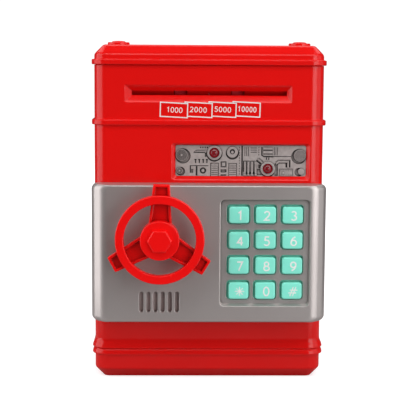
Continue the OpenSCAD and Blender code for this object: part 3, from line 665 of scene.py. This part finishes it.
SIX = [arc(0.31, 0.31, 0.29, 0.31, 0, 360, 24),
       [(0.03, 0.33), (0.05, 0.5), (0.11, 0.66), (0.22, 0.82), (0.36, 0.93), (0.5, 1.0)]]
FIGURES = {
    "0": [arc(0.31, 0.5, 0.29, 0.5, 0, 360, 28)],
    "1": [[(0.1, 0.8), (0.24, 0.88), (0.36, 1.0), (0.36, 0.0)]],
    "2": [arc(0.3, 0.71, 0.27, 0.29, 165, -38) + [(0.03, 0.0), (0.61, 0.0)]],
    "3": [arc(0.29, 0.76, 0.24, 0.24, 150, -90), arc(0.29, 0.26, 0.29, 0.26, 90, -150)],
    "4": [[(0.46, 0.0), (0.46, 1.0)], [(0.46, 0.97), (0.03, 0.3), (0.64, 0.3)]],
    "5": [[(0.56, 1.0), (0.15, 1.0), (0.1, 0.55)], arc(0.28, 0.31, 0.3, 0.31, 128, -148)],
    "6": SIX,
    "7": [[(0.02, 1.0), (0.6, 1.0), (0.2, 0.0)]],
    "8": [arc(0.31, 0.76, 0.23, 0.24, 0, 360, 24), arc(0.31, 0.26, 0.29, 0.26, 0, 360, 24)],
    "9": [[(0.62 - x, 1 - z) for x, z in line] for line in SIX]}
FIGURE_W = 0.62


def ribbon(points, width, y, thick):
    """A flat solid line through points on an upright face, with mitred corners."""
    closed = dist(points[0], points[-1]) < 1e-6
    if closed:
        points = points[:-1]
    chain = [points[-1], *points, points[0]] if closed else [None, *points, None]
    rings = []
    for before, (x, z), after in zip(chain, chain[1:], chain[2:]):
        ways = [Vector((x - before[0], 0, z - before[1])).normalized()] if before else []
        ways += [Vector((after[0] - x, 0, after[1] - z)).normalized()] if after else []
        way = (ways[0] + ways[-1]).normalized()
        side = Vector((-way.z, 0, way.x)) * (width / 2 / max(0.35, way.dot(ways[0])))
        back = Vector((x, y, z))
        front = Vector((x, y - thick, z))
        rings.append([front + side, front - side, back - side, back + side])
    return loft("ribbon", rings, closed)


def inked(lines, width, y):
    """Lines of ink joined into one solid."""
    drawn = [ribbon(points, width, y, INK) for points in lines]
    return carve(drawn[0], drawn[1:], "UNION") if len(drawn) > 1 else drawn[0]


def figure(mark, height, width, at, line, y, lean=0.0):
    """One numeral in ink, with its lower left corner at (x, z)."""
    turn = radians(lean)
    lines = []
    for stroke in FIGURES[mark]:
        spots = [(line / 2 + u * (width - line) / FIGURE_W, line / 2 + v * (height - line))
                 for u, v in stroke]
        lines.append([(at[0] + x * cos(turn) - z * sin(turn),
                       at[1] + x * sin(turn) + z * cos(turn)) for x, z in spots])
    return inked(lines, line, y)


# ---------- number frames above the window ----------

FRAME_W = 15.3
FRAME_H = 7.9
FRAME_LINE = 0.6
FRAME_LEAN = -2.8
FRAME_LEFTS = [(-27.5, 158.6), (-13.75, 158.75), (-0.25, 158.95), (13.25, 159.15)]
NUMBERS = [("1000", -19.7, 9.1), ("2000", -6.3, 9.6), ("5000", 7.4, 9.5), ("10000", 21.2, 10.9)]
NUMBER_H = 3.1
NUMBER_W = 0.68 * NUMBER_H
NUMBER_LINE = 0.39
INK = 0.06


def make_number_frames():
    """Four leaning frames with a number in each; only the first has a full left side."""
    drop = tan(radians(FRAME_LEAN))
    face = HOUSE_FRONT + 0.01
    parts = []
    for i, ((left, top), (number, middle, wide)) in enumerate(zip(FRAME_LEFTS, NUMBERS)):
        right = left + FRAME_W
        right_top = top + FRAME_W * drop
        line = [(left, top), (right, right_top), (right - 0.2, right_top - FRAME_H)]
        foot = (left - 0.2, top - FRAME_H)
        if i:
            edge = FRAME_LEFTS[i - 1][0] + FRAME_W + 0.1
            line = [(left - 0.02, top - 0.75)] + line + [(edge, foot[1] + (edge - foot[0]) * drop)]
        else:
            line += [foot, (left, top)]
        parts.append(ribbon(line, FRAME_LINE, face, INK))
        step = (wide - NUMBER_W) / (len(number) - 1)
        base = top + (middle - left) * drop - FRAME_H / 2 - NUMBER_H / 2 + 0.05
        width = NUMBER_W * (0.88 if len(number) > 4 else 1)
        for k, mark in enumerate(number):
            x = middle - wide / 2 + k * step
            parts.append(figure(mark, NUMBER_H, width, (x, base + (x - middle) * drop), NUMBER_LINE, face,
                                FRAME_LEAN))
    place(joined("number_frames", parts), "root", "silicone_pale", WHITE)


# ---------- relief window ----------

PANEL_LOW, PANEL_HIGH = box_mm("window_panel")
PANEL_X = -19.0
PANEL_W = 74.0
PANEL_TOP = 134.5
PANEL_H = 17.6
WINDOW = (PANEL_X, PANEL_X + PANEL_W, PANEL_TOP - PANEL_H, PANEL_TOP)
PANEL_Y = -45.6
PANEL_WELL = 0.9
PANEL_ROOT = PANEL_WELL + 0.2
CUT_ABOVE = 0.6
LENS_PLACES = [(22.0, 4.3), (52.3, 13.2)]
LENS_R = 2.85
FINGERS = (39.4, 41.3, 43.4, 45.5)


def on_panel(u, v):
    """The place u to the right of the panel's upper left corner and v below it."""
    return PANEL_X + u, PANEL_TOP - v


def panel_block(name, corners, r, y0, y1):
    """A block between two opposite corners, given as (u, v, u, v)."""
    x0, z1 = on_panel(*corners[:2])
    x1, z0 = on_panel(*corners[2:])
    return slab(name, rounded(x0, x1, z0, z1, r, 3), y0, y1)


def tile(u0, v0, u1, v1, h):
    """A raised block on the panel from corner to corner, h above its face."""
    return panel_block("tile", (u0, v0, u1, v1), 0.25, PANEL_Y - h, PANEL_Y + PANEL_ROOT)


def well(u0, v0, u1, v1, depth=PANEL_WELL):
    """A cutter for a sunk block of the panel."""
    return panel_block("well", (u0, v0, u1, v1), 0.12, PANEL_Y - CUT_ABOVE, PANEL_Y + depth)


def button(u, v, profile):
    """A turned boss on the panel: radius and height pairs from the rim to the middle."""
    foot = PANEL_Y + PANEL_ROOT
    points = [(0, foot), (profile[0][0], foot)]
    points += [(r, PANEL_Y - h) for r, h in profile]
    points.append((0, PANEL_Y - profile[-1][1]))
    return lathe("button", points, on_panel(u, v), 40)


def ringed_button(u, v, radius, depth):
    """A turned boss with fine round grooves of this depth in its face."""
    top = 0.85
    low = top - depth
    profile = [(radius, 0.6), (radius - 0.1, top)]
    r = radius - 0.35
    while r > 0.5:
        profile += [(r, top), (r - 0.08, low), (r - 0.25, low), (r - 0.33, top)]
        r -= 0.5
    return button(u, v, profile)


def pipe(points, width, h):
    """A raised pipe through (u, v) points."""
    return ribbon([on_panel(u, v) for u, v in points], width, PANEL_Y + PANEL_ROOT, PANEL_ROOT + h)


def groove(points, width, depth=PANEL_WELL):
    """A cutter for a groove through (u, v) points."""
    return ribbon([on_panel(u, v) for u, v in points], width, PANEL_Y + depth, depth + CUT_ABOVE)


def level(u0, u1, v, width, depth=PANEL_WELL):
    """A cutter for a level groove."""
    return groove([(u0, v), (u1, v)], width, depth)


def upright(u, v0, v1, width, depth=PANEL_WELL):
    """A cutter for an upright groove."""
    return groove([(u, v0), (u, v1)], width, depth)


def outline_groove(u0, v0, u1, v1, width, depth=PANEL_WELL):
    """A cutter for a groove round a rectangle."""
    return groove([(u0, v0), (u1, v0), (u1, v1), (u0, v1), (u0, v0)], width, depth)


def pit(u, v, r):
    """A cutter for a round pit."""
    return rod("pit", on_panel(u, v), r, PANEL_Y - CUT_ABOVE, PANEL_Y + PANEL_WELL, 40)


def window_wells():
    """Everything that is sunk into the face of the relief."""
    return [
        # the seats of the round buttons at both ends
        pit(4.25, 6.2, 4.3), pit(69.85, 6.3, 4.25), pit(3.0, 14.9, 2.45), pit(70.0, 15.1, 2.4),
        # upper left: dashes, two channels and four T shapes
        *(well(13.9 + 1.27 * i, 0.9, 14.6 + 1.27 * i, 1.8) for i in range(4)),
        level(10.3, 16.7, 4.15, 0.55), groove([(10.3, 4.1), (12.0, 2.8), (17.6, 2.8)], 0.3),
        well(16.6, 4.3, 18.4, 6.6),
        *(cut for u in (11.4, 13.5, 15.7, 17.8)
          for cut in (well(u - 0.65, 7.9, u + 0.55, 8.6), well(u - 0.3, 8.4, u + 0.35, 10.2))),
        # lower left: a bracket, two bars and a dial
        level(8.1, 18.7, 11.7, 0.45), upright(8.45, 11.6, 15.7, 0.65), well(8.9, 13.6, 10.1, 15.7, 0.5),
        well(11.5, 12.0, 12.5, 17.3), pit(15.6, 14.4, 1.8),
        # two louvred frames, and a square ring over two bars between them
        outline_groove(20.0, 10.2, 24.3, 17.9, 0.42), outline_groove(30.2, 10.3, 34.7, 17.9, 0.35),
        *(level(left, right, 11.3 + 1.05 * i, 0.3, 0.35)
          for left, right in ((20.4, 23.9), (30.5, 34.4)) for i in range(6)),
        outline_groove(25.85, 9.45, 28.65, 12.35, 0.5), well(25.6, 13.7, 28.9, 15.5),
        well(25.6, 16.6, 28.9, 17.3),
        # the long slot in the middle beside its row of notches
        well(37.3, 0.25, 38.15, 17.35, 0.7),
        *(well(36.0, 0.8 + 1.5 * i, 36.35, 1.7 + 1.5 * i, 0.4) for i in range(11)),
        # right of the slot: lines and notches, with a comb below them
        *(upright(u, 0.9, 6.2, 0.35, 0.5) for u in (39.3, 40.3, 41.3)),
        *(level(42.5, 46.0, v, 0.42, 0.5) for v in (1.5, 2.7, 3.9)),
        *(well(47.0, 0.9 + 1.35 * i, 47.4, 1.7 + 1.35 * i, 0.4) for i in range(4)),
        level(38.4, 45.0, 8.9, 0.4, 0.4),
        *(upright(u, 8.9, 15.0, 0.5, 0.4) for u in (38.5, 40.3, 42.3, 44.4)),
        *(well(u - 0.5, 15.0, u + 0.5, 16.4) for u in (40.3, 42.3, 44.4)),
        # upper right: a bent channel, bars and short lines
        groove([(48.9, 0.9), (48.9, 5.6), (50.2, 6.45), (55.5, 6.45)], 0.7), level(55.0, 66.4, 6.25, 0.4),
        level(49.4, 55.2, 2.75, 0.4, 0.5), level(49.4, 55.2, 4.9, 0.35, 0.5),
        *(upright(u, 1.0, 5.6, 0.32, 0.5) for u in (56.0, 56.9, 57.8)),
        well(51.3, 6.9, 51.9, 8.2), well(52.6, 6.9, 53.2, 8.2),
        # lower right: channels, blocks and the outline of a plate
        groove([(45.8, 8.5), (48.3, 10.6)], 0.8), groove([(47.4, 7.1), (49.8, 9.2)], 0.3),
        well(46.9, 10.9, 48.5, 12.9), well(46.2, 13.3, 48.9, 16.9), well(56.2, 10.2, 58.1, 17.3),
        groove([(56.6, 9.5), (58.2, 8.3), (65.2, 8.3)], 0.3),
        groove([(57.4, 11.2), (58.9, 10.1), (62.9, 10.1)], 0.35),
        well(62.4, 9.9, 63.25, 12.5), well(64.5, 8.5, 65.2, 12.5),
        outline_groove(58.9, 13.3, 66.6, 17.9, 0.25, 0.4),
        # the seats of the eye and of the two lenses
        pit(32.2, 4.45, 3.75), pit(22.0, 4.8, 4.55), pit(52.3, 13.6, 4.5)]


def window_blocks():
    """Everything that stands on the relief."""
    collar = [(4.15, 0.1), (4.1, 0.5), (3.8, 0.62), (3.45, 0.62), (3.2, 0.85)]
    return [
        ringed_button(3.5, 5.6, 3.35, 0.38), ringed_button(70.5, 5.7, 3.4, 0.15),
        ringed_button(2.3, 14.5, 1.75, 0.38), button(71.3, 14.8, [(1.8, 0.4), (1.75, 0.6), (1.3, 0.8)]),
        pipe([(11.8, 3.5), (16.4, 3.5)], 0.5, 0.25), tile(26.4, 10.0, 28.1, 11.8, 0.3),
        *(pipe([(u, 9.3), (u, 16.9)], 0.85, 0.3) for u in FINGERS),
        *(button(u, 16.7, [(0.62, 0.4), (0.45, 0.6)]) for u in FINGERS),
        tile(49.7, 1.2, 55.0, 2.3, 0.4), tile(49.7, 3.2, 55.0, 4.5, 0.4), tile(50.4, 5.2, 55.0, 5.8, 0.3),
        pipe([(46.7, 7.8), (49.3, 10.0)], 0.75, 0.4),
        pipe([(57.0, 10.5), (58.5, 9.2), (63.9, 9.2), (63.9, 12.7)], 0.8, 0.3),
        tile(59.3, 13.7, 66.2, 17.2, 0.2),
        *(button(60.0 + 1.4 * i, v, [(0.25, 0.3), (0.22, 0.45)]) for i in range(5) for v in (14.2, 16.7)),
        button(61.2, 15.6, [(0.8, 0.3), (0.75, 0.5), (0.5, 0.55)]),
        *(button(u, v, collar) for u, v in LENS_PLACES),
        button(32.2, 3.9, [(3.2, 0.1), (3.1, 0.4), (2.7, 0.5)]),
        button(15.6, 14.4, [(0.95, 0.1), (0.8, 0.3)])]


def make_window():
    """The relief plate: a flange behind the wall, the pattern, the lens seats and the eye."""
    plate = slab("window_relief", grown(WINDOW, -0.06, 1.16, 8), PANEL_Y, PANEL_Y + 1.5)
    back = HOUSE_FRONT + WALL
    flange = brick("flange", (PANEL_LOW.x, back, PANEL_LOW.z), (PANEL_HIGH.x, back + 1.5, PANEL_HIGH.z))
    carve(plate, [flange], "UNION")
    carve(plate, window_wells())
    for block in window_blocks():
        carve(plate, [block], "UNION")
    cuts = [rod("seat", on_panel(u, v), LENS_R + 0.1, PANEL_Y - 3, PANEL_Y + 3) for u, v in LENS_PLACES]
    cuts.append(rod("eye", on_panel(32.2, 3.6), 1.5, PANEL_Y - 3, PANEL_Y + 0.6, 32))
    carve(plate, cuts)
    carve(plate, [button(32.2, 3.95, [(0.95, 0.0), (0.8, 0.25)])], "UNION")
    place(plate, "root", "panel_grey", GREY, "window_panel")


def make_lenses():
    """Two round indicator lenses with a ring and a raised middle."""
    profile = [(0, 2), (LENS_R, 2), (LENS_R, -0.35), (LENS_R - 0.25, -0.6), (2.1, -0.62), (1.95, -0.42),
               (1.8, -0.62), (1.2, -0.85), (1.05, -0.65), (0.9, -0.86), (0.4, -1.0), (0, -1.0)]
    profile = [(r, PANEL_Y + y) for r, y in profile]
    parts = [lathe("lens", profile, on_panel(u, v), 48) for u, v in LENS_PLACES]
    place(joined("lens_look", parts), "root", "lens_red", LENS, "indicator_lenses")


# ---------- door ----------

PAD = (6.3, 56.5, 45.1, 105.2)
PAD_DEPTH = 2.2
PAD_FLOOR = DOOR_FRONT + PAD_DEPTH
KEY_GAP = 0.75
APERTURE_SHIFT = (-0.2, 0.25)
GRILLE_X = -27.85
GRILLE_Z = 47.4
GRILLE_STEP = 3.98
GRILLE_SLOTS = 6
BUSH_R = 6.0
BARREL_R = 3.9
PIN_R = 1.26
LUG_PLAY = 0.3
LUGS = (42.0, 99.0)
LUG_H = 8.0


def inset_at(t, r):
    """How far a round edge of radius r pulls in at distance t behind the front."""
    return r - sqrt(max(0.0, r * r - (r - t) ** 2)) if t < r else 0.0


def key_centre(name):
    """The middle of a key, seen from the front."""
    low, high = box_mm("key_" + name)
    return (low.x + high.x) / 2, (low.z + high.z) / 2


def door_skin():
    """The door's outside: round left edge, filleted ends and the barrel of its hinge edge."""
    depths = [DOOR_FILLET * (1 - cos(radians(a))) for a in (*range(0, 89, 11), 90)]
    depths += [3.3, 4.2, 5.2, 6.4, 7.8, DOOR_R, 10.5, 11.5, 12.4, 13.1, DOOR_BACK - DOOR_FRONT]
    rings = []
    for t in depths:
        side = inset_at(t, DOOR_R)
        ends = inset_at(t, DOOR_FILLET)
        right = DOOR_HIGH.x - side
        if t > DOOR_R:
            right = HINGE_X + sqrt(HINGE_R ** 2 - (t - DOOR_R) ** 2)
        rings.append(facing(rounded(DOOR_LOW.x + side, right, DOOR_LOW.z + ends, DOOR_HIGH.z - ends,
                                    DOOR_CORNER, 8), DOOR_FRONT + t))
    return loft("door_skin", rings)


def pad_recess():
    """A cutter for the keypad's recess: a round lip, then walls that slope in to its floor."""
    x0, x1, z0, z1 = PAD
    rings = [facing(grown(PAD, grow, 2.4, 7), y) for grow, y in lip_rings(0.5, DOOR_FRONT, (22, 45, 67))]
    rings.append(facing(rounded(x0 + 0.3, x1 - 0.6, z0 + 1.2, z1 - 0.3, 1.8, 7), PAD_FLOOR))
    return loft("recess", rings)


def make_door():
    """The door's hollow shell with its keypad recess, grille, wheel bore and hinge rooms."""
    skin = door_skin()
    left = DOOR_LOW.x
    cavity = arc(left + DOOR_R, HINGE_Y, DOOR_R - WALL, DOOR_R - WALL, 240, 180, 4)
    cavity = [(left + DOOR_R + 0.5, DOOR_FRONT + WALL)] + cavity + [(left + WALL, DOOR_BACK + 1)]
    carve(skin, [loft("hollow", [facing(rounded(x, BACK_PLATE_RIGHT + 0.2, DOOR_LOW.z + WALL,
                                                DOOR_HIGH.z - WALL, 1.0, 3), y) for x, y in cavity])])
    bed = rounded(PAD[0] - 2.2, PAD[1] + 0.5, PAD[2] - 2.2, PAD[3] + 2.2, 2)
    carve(skin, [slab("bed", bed, DOOR_FRONT + 1, PAD_FLOOR + 2)], "UNION")
    cuts = [pad_recess()]
    for name in KEYS:
        x, z = key_centre(name)
        hole = around(x + APERTURE_SHIFT[0], z + APERTURE_SHIFT[1],
                      KEY_W / 2 + KEY_GAP, KEY_H / 2 + KEY_GAP)
        cuts.append(lipped("aperture", hole, 1.9, 0.45, PAD_FLOOR, PAD_FLOOR + 4))
    through = DOOR_FRONT + WALL + 1
    for i in range(GRILLE_SLOTS):
        slot = around(GRILLE_X + (i - (GRILLE_SLOTS - 1) / 2) * GRILLE_STEP, GRILLE_Z, 1.2, 5.75)
        cuts.append(lipped("slot", slot, 1.19, 0.4, DOOR_FRONT, through))
    cuts.append(rod("bore", (WHEEL_X, WHEEL_Z), BUSH_R, DOOR_FRONT - 1, through))
    for z in LUGS:
        cuts += hinge_cuts(z)
    carve(skin, cuts)
    place(skin, "door", "door_silver", SILVER, "door_shell")


def make_speaker_cloth():
    """The dust cloth between the grille and the speaker."""
    back = box_mm("speaker")[0].y - 0.01
    outline = rounded(*around(GRILLE_X, GRILLE_Z, 12.5, 7.5), 1.5)
    cloth = slab("speaker_cloth", outline, back - 0.08, back)
    place(cloth, "door", "black_plastic", FELT)


def hinge_cuts(z):
    """Room in the door for one hinge lug, its neck and its pin."""
    neck = [(HINGE_X, HINGE_Y)] + arc(HINGE_X, HINGE_Y, 16, 16, 4, 152, 4)
    low, high = z - LUG_PLAY, z + LUG_H + LUG_PLAY
    return [prism("barrel_room", circle(HINGE_X, HINGE_Y, BARREL_R, 10), low, high),
            prism("neck_room", neck, low, high),
            prism("pin_room", circle(HINGE_X, HINGE_Y, PIN_R, 15), z - 4, z + LUG_H + 4)]


# ---------- keys ----------

KEY_FRONT = box_mm("key_1")[0].y
KEY_BACK = box_mm("key_1")[1].y
KEY_FLANGE = 0.8
KEY_ROUND = 0.7
KEY_EDGE = 0.12
GLYPH_H = 5.6
GLYPH_W = 3.9
GLYPH_LINE = 0.78
GLYPH_SHIFT = (0.6, -0.25)


def key_rings(x, z):
    """Rings of a key from the back of its flange to its slightly domed face."""
    def ring(grow, y, r):
        return facing(rounded(*around(x, z, KEY_W / 2 + grow, KEY_H / 2 + grow), r, 6), y)

    flange_front = KEY_BACK - KEY_FLANGE
    edge = KEY_FRONT + KEY_EDGE
    rings = [ring(1.4, KEY_BACK, 1.8), ring(1.4, flange_front, 1.8), ring(0.0, flange_front, 1.6),
             ring(-0.05, edge + KEY_ROUND, 1.5)]
    for a in (18, 36, 54, 72, 90):
        turn = radians(a)
        inwards = 1 - cos(turn)
        rings.append(ring(-0.05 - KEY_ROUND * inwards, edge + KEY_ROUND * (1 - sin(turn)),
                          1.5 - 0.4 * inwards))
    return rings + [ring(-1.9, KEY_FRONT + 0.05, 0.8), ring(-3.2, KEY_FRONT + 0.02, 0.5)]


def star(x, z, y):
    """An eight-ray star."""
    rays = arc(0, 0, 2.6, 2.6, 0, 135, 3)
    return inked([[(x - u, z - v), (x + u, z + v)] for u, v in rays], 0.5, y)


def hash_mark(x, z, y):
    """Two leaning and two level strokes."""
    strokes = [[(x + s - 0.95, z - 2.6), (x + s + 0.95, z + 2.6)] for s in (-0.75, 0.75)]
    strokes += [[(x - 2.2 + s / 2, z + s), (x + 2.2 + s / 2, z + s)] for s in (-0.8, 0.8)]
    return inked(strokes, 0.55, y)


def make_keys():
    """Twelve keys, each with its mark in ink on its face."""
    for name in KEYS:
        node = "key_" + name
        x, z = key_centre(name)
        place(loft(node + "_cap", key_rings(x, z)), node, "key_mint", MINT, node)
        face = KEY_FRONT + 0.07
        x += GLYPH_SHIFT[0]
        z += GLYPH_SHIFT[1]
        if name == "star":
            mark = star(x, z, face)
        elif name == "hash":
            mark = hash_mark(x, z, face)
        else:
            mark = figure(name, GLYPH_H, GLYPH_W, (x - GLYPH_W / 2, z - GLYPH_H / 2), GLYPH_LINE, face)
        mark.name = node + "_mark"
        place(mark, node, "silicone_pale", GLYPH)


# ---------- hand wheel ----------

RING_OUT = 24.5
RING_IN = 19.8
RING_BACK = -71.0
RING_FRONT = -77.0
HUB_R = 10.8
HUB_FRONT = -79.5
HUB_BACK = -61.9
NECK_R = 7.5
BORE_R = 4.06
BORE_END = -76.4
SPOKE_TIP = 30.2
SPOKE_TURN = -1.7
SPOKE_BACK = -69.5
SPOKE_FRONT = -73.2


def quarter(cx, cy, r, start):
    """A quarter circle of (radius, depth) points round (cx, cy), clockwise from start degrees."""
    return arc(cx, cy, r, r, start, start - 90, 5)


def spoke(angle):
    """A channel-shaped spoke with raised rims, turned about the wheel's axis to this angle."""
    def taper(tip, at_axis, at_tip):
        return [(-at_tip, tip), (-at_axis, 0), (at_axis, 0), (at_tip, tip)]

    bar = soften(slab("spoke", taper(SPOKE_TIP, 7.0, 4.6), SPOKE_FRONT, SPOKE_BACK), 0.5)
    steps = [(0.35, -1), (0.35, 0), (0.1, 0.12), (0, 0.35), (-0.3, 1.7)]
    channel = [facing(taper(SPOKE_TIP - 1.5 + grow, 5.4 + grow, 3.15 + grow), SPOKE_FRONT + y)
               for grow, y in steps]
    carve(bar, [loft("channel", channel)])
    return moved(bar, 90 - angle, "Y", (WHEEL_X, 0, WHEEL_Z))


def make_wheel():
    """The hand wheel, ring, hub and three spokes in one, and the hexagon cap on its hub."""
    centre = (WHEEL_X, WHEEL_Z)
    ring = quarter(RING_OUT - 1.0, RING_BACK - 1.0, 1.0, 90)
    ring += quarter(RING_OUT - 0.7, RING_FRONT + 0.7, 0.7, 0)
    ring += quarter(RING_IN + 0.6, RING_FRONT + 0.6, 0.6, 270)
    ring += quarter(RING_IN + 0.7, RING_BACK - 0.7, 0.7, 180)
    wheel = lathe("wheel", ring, centre, 128)
    hub = [(0, HUB_BACK), (NECK_R, HUB_BACK), (NECK_R, -67.6), (9.8, -68.6), (HUB_R, -69.6)]
    hub += quarter(HUB_R - 0.6, HUB_FRONT + 0.6, 0.6, 0) + [(0, HUB_FRONT)]
    parts = [lathe("hub", hub, centre)] + [spoke(a + SPOKE_TURN) for a in (90, 210, 330)]
    carve(wheel, parts, "UNION")
    carve(wheel, [rod("bore", centre, BORE_R, -50, BORE_END)])
    place(wheel, "wheel", "housing_red", LIT_WHEEL_RED, "hand_wheel")
    low, high = box_mm("hub_cap")
    across = (high.x - low.x) / 2
    rings = [(across, HUB_FRONT + 0.1), (across, low.y + 0.6), (across - 0.7, low.y)]
    cap = loft("hub_cap_look", [facing(circle(*centre, r, 60), y) for r, y in rings])
    place(soften(cap, 0.25), "wheel", "housing_red", LIT_WHEEL_RED, "hub_cap")


# ---------- the pieces that keep their CAD shape ----------

INSIDE = [
    (INNER_RED, "feeder_frame", "note_guide_lower", "note_guide_upper", "coin_chute", "chamber_floor"),
    (CLEAR, "indicator_leds"), (GREEN, "indicator_board", "control_board", "keypad_board"),
    (PALE, "keypad_membrane"),
    (STEEL, "idler_axle", "battery_contacts", "strike_plate", "hinge_pins", "housing_screws",
     "door_screws", "latch_screw", "battery_screw", "lock_plunger", "drive_shaft", "pinch_shaft", "motor",
     "latch_tongue", "lock_disc"),
    (NYLON, "wheel_shaft", "wheel_bush", "drive_gears", "pinch_gear", "idler_gear", "motor_pinion"),
    (CELL, "battery_cells"), (BLACK, "note_sensor", "speaker", "lock_solenoid"),
    (RUBBER, "drive_tyres", "pinch_tyres"), (SILVER, "door_back")]


def finish_inside():
    """Gives each carried-over node its material."""
    for material, *nodes in INSIDE:
        for node in nodes:
            NODES[node].data.materials.clear()
            NODES[node].data.materials.append(material)


# ---------- studio ----------

CAMERA_AT = Vector((-0.01705, -0.7368, 0.18502))
CAMERA_ANGLES = (-1.381, 7.119, 0.397)
CAMERA_LENS = 106.0
STUDIO_DIM = 0.085
BACKDROP = 1.1


def make_camera():
    """The studio camera: its angles are yaw, pitch and roll in degrees."""
    yaw, pitch, roll = map(radians, CAMERA_ANGLES)
    ahead = Vector((-sin(yaw) * cos(pitch), cos(yaw) * cos(pitch), -sin(pitch)))
    right = Vector((cos(yaw), sin(yaw), 0))
    up = right.cross(ahead)
    side = right * cos(roll) + up * sin(roll)
    top = up * cos(roll) - right * sin(roll)
    data = bpy.data.cameras.new("camera")
    data.lens = CAMERA_LENS
    data.sensor_width = 36
    data.clip_start = 0.01
    camera = linked("camera", data)
    turn = Matrix((side, top, -ahead)).transposed().to_4x4()
    camera.matrix_world = Matrix.Translation(CAMERA_AT) @ turn
    SCENE.camera = camera


def soft_box(name, azimuth, elevation, distance, size, radiance):
    """A soft box aimed at the bank, at an azimuth in degrees from the front to the right."""
    turn, rise = radians(azimuth), radians(elevation)
    middle = Vector((0, 0, 0.1))
    away = Vector((sin(turn) * cos(rise), -cos(turn) * cos(rise), sin(rise)))
    data = bpy.data.lights.new(name, "AREA")
    data.shape = "RECTANGLE"
    data.size, data.size_y = size
    data.energy = radiance * pi * size[0] * size[1]
    light = linked(name, data)
    light.location = middle + away * distance
    light.rotation_euler = (-away).to_track_quat("-Z", "Y").to_euler()
    light.visible_camera = False


def make_world():
    """A dim studio all round, with a white backdrop where the camera looks past the bank."""
    world = bpy.data.worlds.new("studio")
    world.use_nodes = True
    nodes = world.node_tree.nodes
    link = world.node_tree.links.new
    path = nodes.new("ShaderNodeLightPath")
    span = nodes.new("ShaderNodeMapRange")
    span.inputs["To Min"].default_value = STUDIO_DIM
    span.inputs["To Max"].default_value = BACKDROP
    link(path.outputs["Is Camera Ray"], span.inputs["Value"])
    link(span.outputs["Result"], nodes["Background"].inputs["Strength"])
    nodes["Background"].inputs["Color"].default_value = (1, 1, 1, 1)
    SCENE.world = world


def make_floor(name, z, radius, shade, glow):
    """A round sheet of plain paper; its glow, if it has one, is painted light that rises away from the
    bank, leaving a painted shadow round it.
    """
    bm = bmesh.new()
    bmesh.ops.create_circle(bm, cap_ends=True, radius=radius, segments=64)
    floor = new_object(name, bm)
    floor.location.z = z
    n = Nodes(name + "_paper")
    n.put("Base Color", n.ramp(n.noise(3, 2), tint(shade, 0.99), tint(shade, 1.01)))
    n.put("Roughness", 0.9)
    n.put("Specular IOR Level", 0.1)
    if glow:
        # painted light: the glow is dimmest under the bank and full white half a metre out, a painted
        # shadow round the bank
        far = n.add("ShaderNodeVectorMath", operation="LENGTH")
        n.link(n.where, far.inputs[0])
        n.put("Emission Color", n.ramp(far.outputs["Value"], (glow,) * 3, (1, 1, 1), 0.1, 0.5))
        n.put("Emission Strength", 1)
    floor.data.materials.append(n.material)
    return floor


def make_studio():
    """White paper for the picture, and a greyer sheet below it that lights the bank from underneath."""
    white = make_floor("floor", 0, 6000, (0.7, 0.7, 0.7), 0.66)
    for ray in ("diffuse", "glossy", "transmission", "shadow"):
        setattr(white, "visible_" + ray, False)
    bounce = make_floor("bounce_floor", -0.0002, 250, (0.4, 0.4, 0.4), 0)
    bounce.visible_camera = False
    make_world()
    soft_box("left_box", -78, 12, 1.3, (1.4, 1.6), 2.1)
    soft_box("right_box", 72, 14, 1.3, (1.0, 1.6), 0.85)
    soft_box("front_box", 38, 6, 1.6, (0.9, 1.2), 3.0)
    soft_box("top_box", 14, 55, 0.8, (1.2, 0.38), 2.7)
    soft_box("back_box", 180, 60, 1.4, (2.0, 1.0), 1.6)
    SCENE.view_settings.view_transform = "Standard"


make_body_shell()
make_lid()
make_tray()
make_cover()
make_number_frames()
make_window()
make_lenses()
make_door()
make_speaker_cloth()
make_keys()
make_wheel()
finish_inside()
make_camera()
make_studio()
